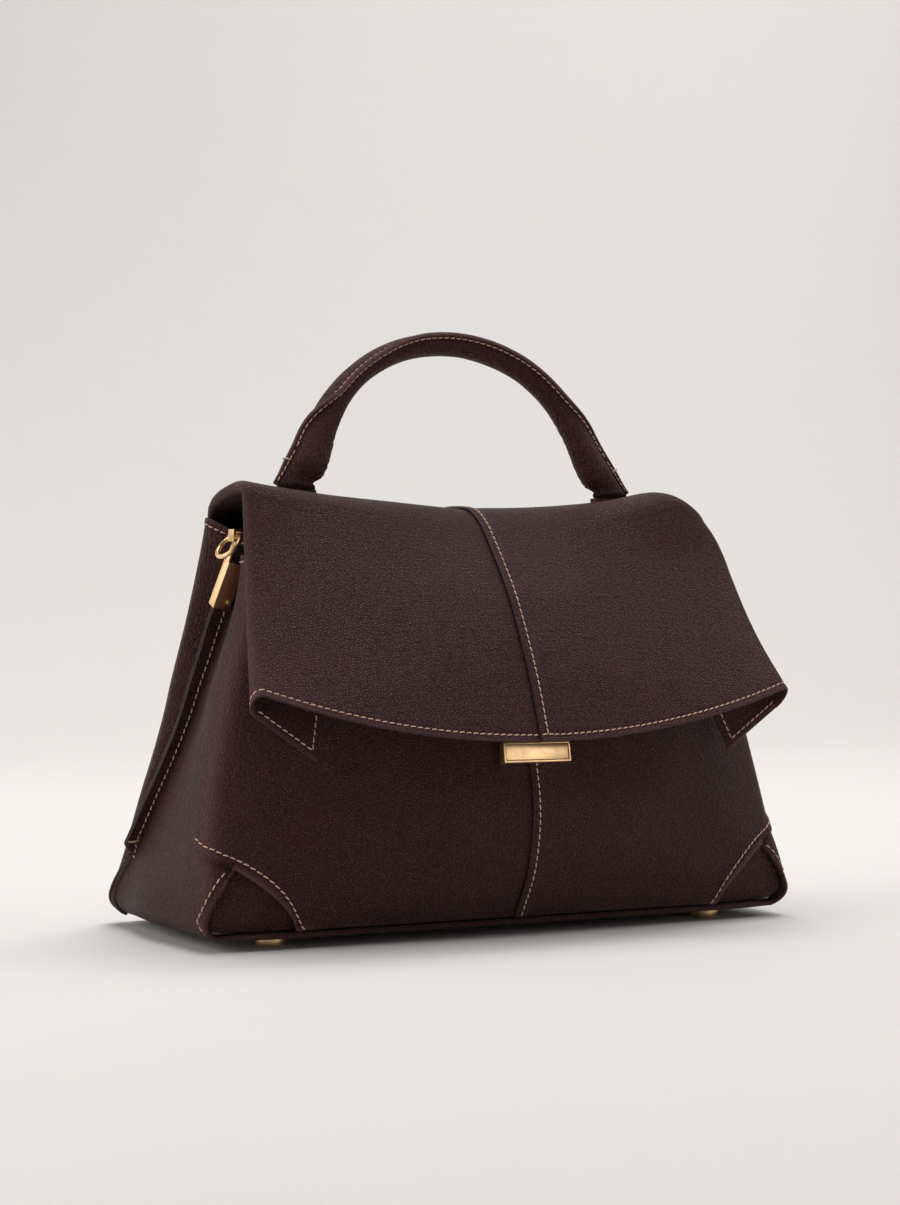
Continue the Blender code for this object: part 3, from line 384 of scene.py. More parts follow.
def leatherSheet(name, grid, wall, paints, body, nodes, edge=0.4 * mm, rounds=3, fields=None,
                 grained=None):
    # Closed sheet: the grid, the grid moved in by the wall, and a rim with half an ellipse as section:
    # middle + normal * wall / 2 * cos(a) + outward * edge * sin(a). Paints are front, back and rim.
    # Where grained is true the rim has the front's paint.
    rows, columns = grid.shape[:2]
    normal = facing(grid)
    r = np.concatenate([np.zeros(columns - 1), np.arange(rows - 1), np.full(columns - 1, rows - 1),
                        np.arange(rows - 1, 0, -1)]).astype(int)
    c = np.concatenate([np.arange(columns - 1), np.full(rows - 1, columns - 1), np.arange(columns - 1, 0, -1),
                        np.zeros(rows - 1)]).astype(int)
    here, square = grid[r, c], normal[r, c]
    inside = grid[np.clip(r, 1, rows - 2), np.clip(c, 1, columns - 2)]
    away = here - inside
    away = unit(away - square * np.sum(away * square, axis=-1, keepdims=True))
    turn = math.pi * np.arange(1, rounds + 1) / (rounds + 1)
    turn = turn[:, None, None]
    rim = here - square * wall / 2 + square * wall / 2 * np.cos(turn) + away * edge * np.sin(turn)
    size, loop = rows * columns, len(r)
    points = np.concatenate([grid.reshape(-1, 3), (grid - normal * wall).reshape(-1, 3), rim.reshape(-1, 3)])
    front = quads(rows, columns)
    border = r * columns + c
    loops = np.concatenate([border, 2 * size + np.arange(rounds * loop), size + border])
    loops = loops.reshape(rounds + 2, loop)
    after = np.roll(loops, -1, axis=1)
    rimFaces = np.stack([loops[:-1], loops[1:], after[1:], after[:-1]], -1).reshape(-1, 4)
    spread = {field: np.concatenate([values.ravel(), values.ravel(), np.tile(values[r, c], rounds)])
              for field, values in (fields or {}).items()}
    rimKind = 2 if grained is None else np.tile(np.where(grained[r, c], 0, 2), rounds + 1)
    blocks = [front, size + front[:, ::-1], rimFaces]
    return addPiece(name, points, blocks, (0, 1, rimKind), paints, body, nodes, spread)


def ringsPiece(name, rings, paints, body, nodes=(), caps=True, loop=False, fields=None):
    # Solid through rings of points, given as an array of rings; it is capped, or joined end to end.
    count, sides = rings.shape[:2]
    blocks = [quads(count, sides, closed=True)]
    if loop:
        last = (count - 1) * sides + np.arange(sides)
        first = np.arange(sides)
        blocks.append(np.stack([last, np.roll(last, -1), np.roll(first, -1), first], -1))
    elif caps:
        blocks += [np.arange(sides)[None, ::-1], (count - 1) * sides + np.arange(sides)[None, :]]
    thing = addPiece(name, rings.reshape(-1, 3), blocks, [0] * len(blocks), paints, body, nodes, fields)
    shape = bmesh.new()
    shape.from_mesh(thing.data)
    bmesh.ops.recalc_face_normals(shape, faces=shape.faces)
    shape.to_mesh(thing.data)
    shape.free()
    thing.data.set_sharp_from_angle(angle=math.radians(52))
    return thing


def turnedRings(profile, steps=48):
    # Rings of a turned piece: each (radius, height) carried once round the vertical.
    a = tau * np.arange(steps) / steps
    return np.stack([point(radius * np.cos(a), radius * np.sin(a), height) for radius, height in profile])


# Along is where a stitch's sections lie, and girth their share of its radius. A tack is a thicker stitch.
stitch = {"pitch": 3.5 * mm, "length": 2.75 * mm, "radius": 0.33 * mm, "rise": 0.34 * mm, "sink": 0.10 * mm,
          "slant": 0.13, "along": (-1, -0.8, -0.35, 0.35, 0.8, 1.0), "girth": (0.45, 0.85, 1, 1, 0.85, 0.45),
          "sides": 6, "tack": 1.6}


def sewLines(name, body, runs, thick=1.0, whole=False):
    # Stitches along runs of points and normals: each is a bowed bead, rise * (1 - u^2) above the leather,
    # turned a little across the line. A whole run is one long stitch.
    look = stitch
    u = np.array(look["along"])
    girth = np.array(look["girth"]) * look["radius"] * thick
    turn = tau * np.arange(look["sides"]) / look["sides"]
    heights = (look["rise"] * (1 - u ** 2) - look["sink"]) * thick
    parts = []
    for points, normals in runs:
        run = travelled(points[None], 1)[0]
        count = 1 if whole else max(int(round(run[-1] / look["pitch"])), 1)
        at = (np.arange(count) + 0.5) * run[-1] / count
        half = run[-1] / 2 if whole else look["length"] / 2 * min(1, run[-1] / count / look["pitch"])

        def pick(table, where):
            return np.stack([np.interp(where, run, table[:, k]) for k in range(3)], -1)
        middle, up = pick(points, at), unit(pick(normals, at))
        along = unit(pick(points, at + half) - pick(points, at - half))
        lean = unit(along + unit(np.cross(up, along)) * look["slant"])
        side = unit(np.cross(up, lean))
        spine = middle[:, None] + lean[:, None] * (u * half)[:, None] + up[:, None] * heights[:, None]
        spoke = side[:, None, None] * np.cos(turn)[:, None] + up[:, None, None] * np.sin(turn)[:, None]
        parts.append(spine[:, :, None] + spoke * girth[:, None, None])
    beads = np.concatenate(parts)
    count, rings, sides = beads.shape[:3]
    start = np.arange(count)[:, None, None] * rings * sides
    walls = (start + quads(rings, sides, closed=True)[None]).reshape(-1, 4)
    heads = start[:, 0] + np.arange(sides)[None, ::-1]
    tails = start[:, 0] + (rings - 1) * sides + np.arange(sides)[None, :]
    return addPiece(name, beads.reshape(-1, 3), [walls, heads, tails], (0, 0, 0), [thread], body)


def softened(name, node, paint, body, width, segments=3):
    # A copy of a brass part from the frame, its coplanar faces joined and its edges rounded.
    mesh = frame["nodes"][node].data.copy()
    mesh.name = name
    shape = bmesh.new()
    shape.from_mesh(mesh)
    bmesh.ops.remove_doubles(shape, verts=shape.verts, dist=0.001 * mm)
    bmesh.ops.dissolve_limit(shape, angle_limit=math.radians(1), verts=shape.verts, edges=shape.edges)
    for face in shape.faces:
        face.smooth = True
    shape.to_mesh(mesh)
    shape.free()
    mesh.materials.clear()
    mesh.materials.append(paint)
    thing = linked(name, mesh)
    rounding = thing.modifiers.new("rounding", "BEVEL")
    rounding.width, rounding.segments = width, segments
    rounding.limit_method, rounding.angle_limit = "ANGLE", math.radians(28)
    rounding.harden_normals = True
    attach(thing, body)
    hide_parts(node)
    return thing


# Body of the bag. Shares are of half the width, half the depth and the height.

bag = {"halfWidth": 160 * mm, "halfDepth": 67 * mm, "height": 201 * mm, "shift": 14.9425 * mm,
       "leather": 1.3 * mm, "corner": 9 * mm, "cornerFoot": 4 * mm, "span": 0.08, "bow": 2.2, "nip": 7 * mm,
       "foot": 8.95 * mm, "gap": 0.3 * mm, "ground": 5 * mm, "rollSide": 11.5 * mm, "rollFace": 4 * mm,
       "rollCorner": 9.5 * mm, "pinch": 17.6 * mm, "fin": 9.5 * mm, "finFoot": 0.15 * mm, "finEnd": 0.175,
       "finFull": 0.215, "finLeast": 0.50, "finStraight": 0.78, "mouthFront": (0.945, 0.905, 0.8955),
       "mouthBack": (1.0, 1.0, 0.928)}

# Height, half width, front edge, front middle, back edge, back middle.
bodyRows = (
    (0.025, 1.000, -1.000, -1.012, 0.985, 1.000), (0.075, 1.000, -1.010, -1.105, 0.925, 1.000),
    (0.149, 0.994, -0.970, -1.239, 0.806, 0.985), (0.249, 0.981, -0.858, -1.321, 0.672, 0.940),
    (0.328, 0.966, -0.806, -1.328, 0.582, 0.888), (0.423, 0.941, -0.769, -1.273, 0.493, 0.821),
    (0.522, 0.913, -0.739, -1.224, 0.440, 0.739), (0.607, 0.891, -0.694, -1.164, 0.418, 0.672),
    (0.751, 0.850, -0.619, -0.955, 0.366, 0.545), (0.896, 0.822, -0.522, -0.634, 0.291, 0.388),
    (1.000, 0.809, -0.463, -0.463, 0.216, 0.254))

# Height, the fin's place from front to back, how far the side sinks, how high the fin stands.
foldRows = ((0.000, 0.955, 0.00, 0.74), (0.130, 0.945, 0.05, 0.74), (0.220, 0.915, 0.20, 0.74),
            (0.470, 0.770, 0.47, 0.74), (0.640, 0.730, 0.70, 0.86), (0.787, 0.670, 0.886, 1.00),
            (1.000, 0.135, 1.165, 1.00))


def bodyRow(height):
    width, frontEdge, frontMid, backEdge, backMid = follow(bodyRows, height / bag["height"])
    half = bag["halfDepth"]
    return width * bag["halfWidth"], frontEdge * half, frontMid * half, backEdge * half, backMid * half


def foldRoot(height):
    width, frontEdge, _, backEdge, _ = bodyRow(height)
    place, pinch, _ = follow(foldRows, height / bag["height"])
    return np.stack([width - pinch * bag["pinch"],
                     mix(frontEdge + bag["corner"], backEdge - bag["corner"], place)], -1)


def finRoot(height):
    # Bottom of the side's valley; above finStraight it rises in a straight line through the clamp.
    height = np.asarray(height, float)
    low = bag["finStraight"] * bag["height"]
    start, end = foldRoot(np.array(low)), foldRoot(np.array(bag["height"]))
    share = ((height - low) / (bag["height"] - low))[..., None]
    return np.where(share > 0, mix(start, end, share), foldRoot(height))


def finShown(height):
    # 0 below the bar tack, where the side is one smooth surface, and 1 where the fin stands free.
    return ease(height / bag["height"], bag["finEnd"], bag["finFull"])


def finReach(height):
    full = np.maximum(follow(foldRows, height / bag["height"])[2], bag["finLeast"]) * bag["fin"]
    return mix(bag["finFoot"], full, finShown(height))


def rolled(height, radius):
    # Inward turn of the leather at the foot: radius * (1 - sqrt(1 - u^2)), u = 1 at the ground edge.
    u = np.clip(1 - (height - bag["ground"]) / radius, 0, 0.97)
    return radius * (1 - np.sqrt(1 - u ** 2))


def bodyPoint(place, height, front, less=(0.0, 0.0), bend=None):
    # Right half of the body: place 0 is the centre seam, 1 the corner and 2 the fin. The face bows by
    # |x / width|^bow, the corner is a quadratic curve and the side sinks to the fin by sin^2. Towards
    # the clamp the front is nipped in, and the corner is rounded at its foot. Less moves the sides and
    # the faces in, and bend sets the corner's size.
    place, height = np.broadcast_arrays(place, height)
    width, frontEdge, frontMid, backEdge, backMid = bodyRow(height)
    width = width - less[0]
    frontEdge, frontMid = frontEdge + less[1], frontMid + less[1]
    backEdge, backMid = backEdge - less[1], backMid - less[1]
    turn, edge, middle = (1, frontEdge, frontMid) if front else (-1, backEdge, backMid)
    if front:
        width = width - bag["nip"] * ease(height / bag["height"], 0.50, 0.88)
    corner = bend or mix(bag["cornerFoot"], bag["corner"], ease(height / bag["height"], 0.05, 0.25))
    straight = width - corner
    faceEnd, sideStart = 1 - bag["span"], 1 + bag["span"]
    cornerY = edge + turn * corner
    x = straight * place / faceEnd
    face = point(x, mix(middle, edge, np.abs(x / width) ** bag["bow"]), height)
    t = np.clip((place - faceEnd) / (sideStart - faceEnd), 0, 1)[..., None]
    start = point(straight, mix(middle, edge, (straight / width) ** bag["bow"]), height)
    peak, end = point(width, edge, height), point(width, cornerY, height)
    fillet = start * (1 - t) ** 2 + peak * (2 * t * (1 - t)) + end * t ** 2
    step = 0.1 * mm
    lean = (finRoot(height + step)[..., 1] - finRoot(height - step)[..., 1]) / (2 * step)
    halfFin = mix(bag["finFoot"], bag["leather"] + bag["gap"] / 2, finShown(height)) * np.sqrt(1 + lean ** 2)
    root = finRoot(height) - (less[0], 0)
    rootX, rootY = root[..., 0], root[..., 1]
    y = mix(cornerY, rootY - turn * halfFin, np.clip((place - sideStart) / (2 - sideStart), 0, 1))
    frontStart, backStart = frontEdge + corner, backEdge - corner
    reach = np.where(y < rootY, (y - frontStart) / (rootY - frontStart),
                     (backStart - y) / (backStart - rootY))
    sideX = width - (width - rootX) * np.sin(np.clip(reach, 0, 1) * math.pi / 2) ** 2
    side = point(sideX, y, height)
    where = place[..., None]
    shape = np.where(where <= faceEnd, face, np.where(where < sideStart, fillet, side))
    foot = rolled(height, mix(bag["rollFace"], bag["rollCorner"], ease(place, 0.72, 0.96)))
    shape[..., 0] -= ease(place, 0.82, 0.99) * rolled(height, bag["rollSide"])
    shape[..., 1] += turn * (1 - ease(place, 1.01, 1.20)) * foot
    return shape


panel = {"notchStart": 0.68, "notchPeak": 0.885, "notchHeight": 29 * mm, "notchPower": 0.62,
         "backShift": 0.065, "lap": 1.6 * mm, "lapLift": 0.95 * mm, "tuck": 1.9 * mm, "hem": 3.4 * mm,
         "hemLift": 0.75 * mm, "groove": 0.30 * mm, "grooveWidth": 0.55 * mm, "rowTop": 1.25,
         "puff": 4.6 * mm, "puffHeight": 17 * mm, "puffWidth": 15 * mm, "tack": 43.5}
panelColumns = stops(0.0, (0.06, 14), (0.62, 44), (0.72, 26), (0.98, 50), (1.10, 24), (1.90, 44), (2.0, 10),
                     (2.5, 6), (3.0, 6))
panelRows = stops(0.0, (0.06, 16), (0.30, 66), (1.0, 60), (1.19, 14), (panel["rowTop"], 12))
# Edge of the side's leather from the peak of the corner cut down round the corner, as place and height.
gussetEdge = ((0.885, 37.95), (0.907, 29.4), (0.930, 24.2), (0.965, 18.8), (1.00, 14.2), (1.03, 9.8),
              (1.07, 7.0), (1.13, 5.9))
gussetStitches = ((1.030, 8.2), (1.083, 10.6), (1.094, 15.7), (1.011, 21.9), (0.940, 30.5), (0.905, 36.8))
hemLedge = ((0.885, 38.2), (0.935, 41.0), (0.989, 43.1), (1.074, 47.4), (1.12, 50.0))
hemStitches = ((0.652, 8.2), (0.681, 15.5), (0.704, 21.0), (0.736, 26.6), (0.776, 32.0), (0.820, 36.7),
               (0.865, 40.8), (0.911, 44.0), (0.955, 46.4), (1.00, 48.0), (1.06, 51.5))


def notchFloor(place, front):
    # Lower edge of a panel: it climbs by reach^power to the peak of the corner cut, then falls along the
    # edge of the side's leather. At the back the cut stays on the face.
    look = panel
    place = place + (0 if front else look["backShift"])
    reach = np.clip((place - look["notchStart"]) / (look["notchPeak"] - look["notchStart"]), 0, 1)
    climb = look["notchHeight"] * reach ** look["notchPower"]
    places, heights = zip(*gussetEdge)
    return np.where(place <= look["notchPeak"], bag["foot"] + climb, np.interp(place, places, heights) * mm)


def mouthHeight(place, front):
    middle, corner, fin = bag["mouthFront"] if front else bag["mouthBack"]
    level = mix(middle, corner, ease(place, 0.5, 1))
    return mix(level, fin, np.clip(place - 1, 0, 1) ** 1.5) * bag["height"]


def rowHeight(place, share, front):
    low, top = notchFloor(place, front), mouthHeight(place, front)
    straight = bag["finStraight"] * bag["height"]
    high = mix(straight, top, (share - 1) / (panel["rowTop"] - 1))
    return np.where(share <= 1, mix(low, straight, share), high)


def shareAt(place, height, front):
    low, straight = notchFloor(place, front), bag["finStraight"] * bag["height"]
    return (height - low) / (straight - low)


def makePanel(front, over):
    # Half of the front or back with its wrap onto the side and its flange at the fin. Over is the half
    # whose edge laps over the centre seam; the other half tucks under it.
    look = panel
    straight = bag["halfWidth"] - bag["corner"]
    start = (-look["lap"] if over else look["tuck"]) / straight * (1 - bag["span"])
    columns = np.where(panelColumns < 0.06, mix(start, 0.06, panelColumns / 0.06), panelColumns)
    place, share = np.meshgrid(columns, panelRows)
    inner = np.minimum(place, 2.0)
    height = rowHeight(inner, share, front)
    grid = bodyPoint(inner, height, front)
    reach = np.clip(place - 2, 0, 1) * finReach(height)
    grid[..., 0] += reach
    # The side swells above its foot.
    puff = hill(place, 1.62, 0.28) if front else 0.8 * hill(place, 1.70, 0.32) * ease(place, 1.0, 1.3)
    grid[..., 0] += mix(puff, 0.6, ease(inner, 1.70, 2.0)) * look["puff"] \
        * hill(height, look["puffHeight"], look["puffWidth"])
    # A rounded root for the flange: each point moves towards the mean of its neighbours along the row.
    soft = hill(place, 2.0, 0.10)[:, 1:-1, None]
    for _ in range(10):
        mean = (grid[:, :-2] + grid[:, 2:]) / 2
        grid[:, 1:-1] = mix(grid[:, 1:-1], mean, 0.6 * soft)
    side = 1 if front else -1
    x = grid[..., 0]
    low = notchFloor(inner, front)
    run = travelled(grid[:1], 1)[0]
    run = np.maximum.accumulate(run + 1e-9 * np.arange(len(run)))
    slope = np.gradient(notchFloor(np.minimum(columns, 2.0), front), run)
    fromHem = (height - low) / np.sqrt(1 + np.minimum(np.abs(slope), 4) ** 2)
    fromTop = mouthHeight(inner, front) - height
    # Place as the corner cut counts it: at the back the cut lies nearer the middle.
    cutPlace = place + (0 if front else look["backShift"]) * (1 - ease(place, 1.02, 1.1))
    onFace = 1 - ease(cutPlace, look["notchPeak"] - 0.004, look["notchPeak"] + 0.012)
    cut = ease(cutPlace, 0.60, 0.68)
    lift = cut * onFace * look["hemLift"] * (1 - ease(fromHem, 2.6 * mm, 8.5 * mm))
    lift -= cut * onFace * look["groove"] * hill(fromHem, look["hem"], look["grooveWidth"])
    gusset = ease(cutPlace, 0.90, 0.92) * (1 - ease(cutPlace, 1.10, 1.2)) * ease(height, 9 * mm, 16 * mm)
    lift += gusset * 0.9 * mm * (1 - ease(fromHem, 1.6 * mm, 5 * mm)) * (1 - ease(height, 30 * mm, 38 * mm))
    lift -= gusset * 0.25 * mm * hill(fromHem, 3.0 * mm, 0.6 * mm)
    # The hem of the face runs on over the side's leather and dies out round the corner; below it the
    # leather dives under.
    ledge = follow(hemLedge, cutPlace)[0] * mm
    beyond = ease(cutPlace, look["notchPeak"] - 0.004, look["notchPeak"] + 0.008)
    beyond = beyond * (1 - ease(cutPlace, 1.04, 1.10))
    above = height - ledge
    lift += beyond * 0.85 * mm * ease(above, -0.35 * mm, 0.35 * mm) * (1 - ease(above, 3 * mm, 9 * mm))
    lift -= beyond * 0.30 * mm * hill(above, 3.6 * mm, 0.6 * mm)
    below = (1 - ease(above, -0.35 * mm, 0.35 * mm)) * ease(above, -9 * mm, -0.4 * mm)
    lift -= beyond * 1.1 * mm * below * (1 - ease(cutPlace, 0.93, 1.03))
    if over:
        lift += look["lapLift"] * (1 - ease(x, 2.2 * mm, 7 * mm))
        lift -= look["groove"] * hill(x, look["lap"], look["grooveWidth"])
    else:
        lift -= 0.5 * mm * (1 - ease(x, 2 * mm, 7 * mm))
    lift -= look["groove"] * 0.8 * hill(fromTop, 3.0 * mm, look["grooveWidth"])
    lift += 0.45 * mm * (1 - ease(fromTop, 2.2 * mm, 4.2 * mm))
    # Soft swelling of the lower side, broad waves on the faces, and creases on the wrap.
    wrap = ease(place, 1.05, 1.25) * (1 - ease(place, 1.80, 1.95))
    lift += wrap * 1.0 * mm * hill(height, 28 * mm, 20 * mm)
    away = ease(fromHem, 6 * mm, 16 * mm) * ease(fromTop, 4 * mm, 10 * mm) * ease(np.abs(x), 6 * mm, 22 * mm)
    seed = 3 + 2 * front + over
    lift += away * 0.35 * mm * wander(seed, x, grid[..., 2], 38 * mm) * (1 - ease(place, 1.8, 1.95))
    slanted = grid[..., 1] * side + 0.9 * grid[..., 2]
    crossed = grid[..., 2] - 0.9 * grid[..., 1] * side
    patches = 0.55 + 0.45 * wander(seed + 9, slanted, crossed, 22 * mm)
    crease = wrap * ease(height, 36 * mm, 60 * mm) * patches
    lift += crease * 0.34 * mm * wander(seed + 5, slanted, crossed * 0.3, 4.2 * mm)
    # The fin's leather presses into the body along its seam.
    lift -= 0.25 * mm * hill(place, 2.35, 0.10)
    wear = 0.7 * hill(place, 1.0, 0.05) * ease(fromHem, 4 * mm, 10 * mm)
    wear = wear + cut * onFace * hill(fromHem, 0, 1.6 * mm) + hill(fromTop, 0, 1.2 * mm) * 0.5
    crease = crease + 0.25 * hill(place, 1.0, 0.12)
    grid = lifted(grid, lift, side)
    grid[..., 1] += bag["shift"]
    return {"grid": grid, "normal": facing(grid) * side, "columns": columns, "rows": panelRows,
            "grained": (place > 2) & (height < 42.5 * mm),
            "fields": {"crease": np.clip(crease, 0, 1), "wear": np.clip(wear, 0, 1)}}


def mirroredRuns(runs):
    return [(points * (-1, 1, 1), normals * (-1, 1, 1)) for points, normals in runs]


def panelSeams(sheet, front, over):
    # Runs of stitches on one panel, in its right-hand form.
    runs = []
    top = panel["rowTop"]
    if over:
        up = np.linspace(0.002, top - 0.035, 240)
        seamPlace = 1.7 * mm / (bag["halfWidth"] - bag["corner"]) * (1 - bag["span"])
        runs.append(onGrid(sheet, np.full(240, seamPlace), up))
    place = np.linspace(hemStitches[0][0], hemStitches[-1][0], 160)
    height = follow(hemStitches, place)[0] * mm
    place = place - (0 if front else panel["backShift"])
    runs.append(onGrid(sheet, place, np.maximum(shareAt(place, height, front), 0.004)))
    table = [(0.2 * n, *row) for n, row in enumerate(gussetStitches)]
    gussetPlace, gussetHeight = follow(table, np.linspace(0, 1, 80))
    if not front:
        gussetPlace = np.minimum(gussetPlace, 1.045) - panel["backShift"]
    runs.append(onGrid(sheet, gussetPlace, np.maximum(shareAt(gussetPlace, gussetHeight * mm, front), 0.004)))
    around = np.linspace(0.03, 1.93, 260)
    straight = bag["finStraight"] * bag["height"]
    share = top - (top - 1) * 3.0 * mm / (mouthHeight(around, front) - straight)
    runs.append(onGrid(sheet, around, share))
    height = np.linspace(panel["tack"], 156, 160) * mm
    runs.append(onGrid(sheet, np.full(160, 2.36), shareAt(2.0, height, front)))
    if front:
        height = np.linspace(42.2, 35.2, 20) * mm
        runs.append(onGrid(sheet, np.linspace(2.34, 1.965, 20), shareAt(2.0, height, front)))
    return runs


def finTack(sheet, front):
    # One strong stitch across the fin's flange just above its end.
    height = np.full(12, panel["tack"]) * mm
    return [onGrid(sheet, np.linspace(2.15, 3.0, 12), shareAt(2.0, height, front))]


print("bag: body panels")
sheetPaints = [pebbled, suede, edgePaint]
frontRight, frontLeft = makePanel(True, True), makePanel(True, False)
backRight, backLeft = makePanel(False, False), makePanel(False, True)
halves = (("frontPanelRight", frontRight, True, True), ("frontPanelLeft", frontLeft, True, False),
          ("backPanelRight", backRight, False, True), ("backPanelLeft", backLeft, False, False))
for name, sheet, front, right in halves:
    grid, fields, grained = sheet["grid"], sheet["fields"], sheet["grained"]
    if front != right:
        grained = grained[:, ::-1]
        fields = {key: values[:, ::-1] for key, values in fields.items()}
        grid = flipped(grid) if not right else grid[:, ::-1]
    elif not right:
        grid = grid * (-1, 1, 1)
    node = f"{'front' if front else 'back'}_panel_{'right' if right else 'left'}"
    leatherSheet(name, grid, bag["leather"], sheetPaints, "bag", [node], fields=fields,
                 grained=grained)
seams = panelSeams(frontRight, True, True) + mirroredRuns(panelSeams(frontLeft, True, False))
sewLines("frontStitches", "bag", seams)
tacks = finTack(frontRight, True) + finTack(backRight, False)
sewLines("finTacks", "bag", tacks + mirroredRuns(tacks), thick=stitch["tack"], whole=True)
seams = panelSeams(backRight, False, False) + mirroredRuns(panelSeams(backLeft, False, True))
sewLines("backStitches", "bag", seams)


# End is where the piece stops at the front and at the back, as place; under and top are from the foot.
recess = {"start": 0.60, "end": (1.09, 1.03), "under": 2.9 * mm, "top": 47 * mm, "bend": 6.5 * mm,
          "puff": 1.2 * mm, "depth": 2.9 * mm, "crease": 0.45 * mm, "ripple": 0.55 * mm}


def makeCorners():
    # Recessed leather behind each curved cut, puffed by sin * sin and creased towards the corner.
    look = recess
    for face, side, end in (("front", 1, look["end"][0]), ("back", -1, look["end"][1])):
        place, share = np.meshgrid(np.linspace(look["start"], end, 60), np.linspace(0, 1, 48))
        height = bag["foot"] + mix(-look["under"], look["top"], share)
        grid = bodyPoint(place, height, side > 0, bend=look["bend"])
        across = (place - look["start"]) / (end - look["start"])
        puff = look["puff"] * np.sin(math.pi * across) * np.sin(math.pi * share)
        fan = (place - 0.94) * 160 * mm + 0.5 * (height - 30 * mm)
        crease = hill(fan, -6 * mm, 7 * mm) * hill(height, 30 * mm, 11 * mm)
        ripple = np.sin(height / look["ripple"] + 3 * wander(8, fan, height, 6 * mm))
        grid = lifted(grid, puff - look["depth"] + crease * look["crease"] * ripple, side)[:, ::side]
        grid[..., 1] += bag["shift"]
        crease = 0.6 * crease[:, ::side]
        wear = np.zeros_like(crease)
        for name, sheet, turned in (("Right", grid, 1), ("Left", flipped(grid), -1)):
            leatherSheet(f"{face}Corner{name}", sheet, bag["leather"], sheetPaints, "bag",
                         [f"corner_{face}_{name.lower()}"],
                         fields={"crease": crease[:, ::turned], "wear": wear})


liningLook = {"columns": 70, "floor": 13.8 * mm, "wall": 0.8 * mm, "low": 0.30, "high": 0.42,
              "deep": 4.5 * mm, "wide": 3.9 * mm, "drop": 3 * mm, "rowTop": 1.235, "hingeRise": 1.4 * mm,
              "hingeDepth": 1.55 * mm, "lip": 0.3 * mm}
# Section of the base's rim, as how far in it lies and its height. The sides lie further in than the faces.
base = {"bend": 10 * mm, "side": 7, "face": 1.2,
        "profile": ((0.9, 5.0), (0.2, 5.05), (-0.25, 5.35), (-0.6, 6.0), (-0.7, 6.6), (-0.6, 7.2),
                    (-0.2, 7.8), (0.6, 8.0))}


def outline(height, side, face, level, count=160):
    # Closed ring of the body's outline at a height, moved in by an inset of the sides and one of the
    # faces, and laid at a level.
    place = np.linspace(0, 2, count)
    rings = [bodyPoint(place, np.full(count, height), front, (side, face), base["bend"])
             for front in (True, False)]
    right = np.concatenate([rings[0][:-1], rings[1][::-1]])
    right[0, 0] = right[-1, 0] = 0
    ring = np.concatenate([right, right[-2:0:-1] * (-1, 1, 1)])
    ring[:, 2] = level
    ring[:, 1] += bag["shift"]
    return ring


# Rolled edge from the peak of one corner cut round the corner, along the foot of the face and up again,
# as share of its half, place and height.
edgeRoll = ((0.00, 0.893, 35.5), (0.10, 0.910, 28.4), (0.20, 0.936, 22.6), (0.30, 0.972, 16.8),
            (0.38, 1.000, 12.2), (0.45, 1.004, 9.2), (0.52, 0.985, 7.4), (0.60, 0.950, 6.7),
            (0.75, 0.800, 6.6), (1.00, 0.000, 6.6))


def makeEdgeRoll(front):
    # Tube round * cos(b), round * sin(b) along the body's surface; it thins to nothing at its ends.
    share = np.concatenate([np.linspace(0, 0.6, 150), np.linspace(0.6, 1, 90)[1:]])
    place, height = follow(edgeRoll, share)
    if not front:
        place = place - panel["backShift"] * (1 - ease(share, 0.6, 1.0))
    step = 0.004
    spread = np.array([[-step], [0], [step]])
    grids = bodyPoint(place + spread, height * mm + 0 * spread, front), \
        bodyPoint(place + 0 * spread, height * mm + 0.5 * mm * spread / step, front)
    out = unit(np.cross(grids[0][2] - grids[0][0], grids[1][2] - grids[1][0])) * (1 if front else -1)
    spine = grids[0][1] + out * 0.25 * mm + (0, bag["shift"], 0)
    spine, out = [np.concatenate([half, (half * (-1, 1, 1))[-2::-1]]) for half in (spine, out)]
    spine[:, 0] = np.where(np.arange(len(spine)) == len(share) - 1, 0, spine[:, 0])
    along = unit(np.gradient(spine, axis=0))
    side = unit(np.cross(along, out))
    ends = np.minimum(np.arange(len(spine)), np.arange(len(spine))[::-1]) / 24
    girth = 1.15 * mm * np.clip(ends, 0.12, 1) ** 0.5
    b = (tau * np.arange(14) / 14)[None, :, None]
    rings = spine[:, None] + (out[:, None] * np.cos(b) + side[:, None] * np.sin(b)) * girth[:, None, None]
    ringsPiece("frontEdgeRoll" if front else "backEdgeRoll", rings, [smoothed], "bag",
               fields=evenly(rings, 0.2, 0.12))


def makeBase():
    # Leather floor with a full rounded rim, and the stiff board above it.
    profile = base["profile"]
    rings = [outline(bag["foot"], (depth + base["side"]) * mm, (depth + base["face"]) * mm, level * mm)
             for depth, level in profile]
    middle = np.array([0, bag["shift"], 0])
    under, over = [[mix(middle, rings[k], 0.5) * (1, 1, 0) + (0, 0, profile[k][1] * mm)] for k in (0, -1)]
    rings = np.stack(under + rings + over)
    ringsPiece("basePanel", rings, [smoothed], "bag", ["base_panel"], fields=evenly(rings))
    frame["nodes"]["base_board"].data.materials.clear()
    frame["nodes"]["base_board"].data.materials.append(board)


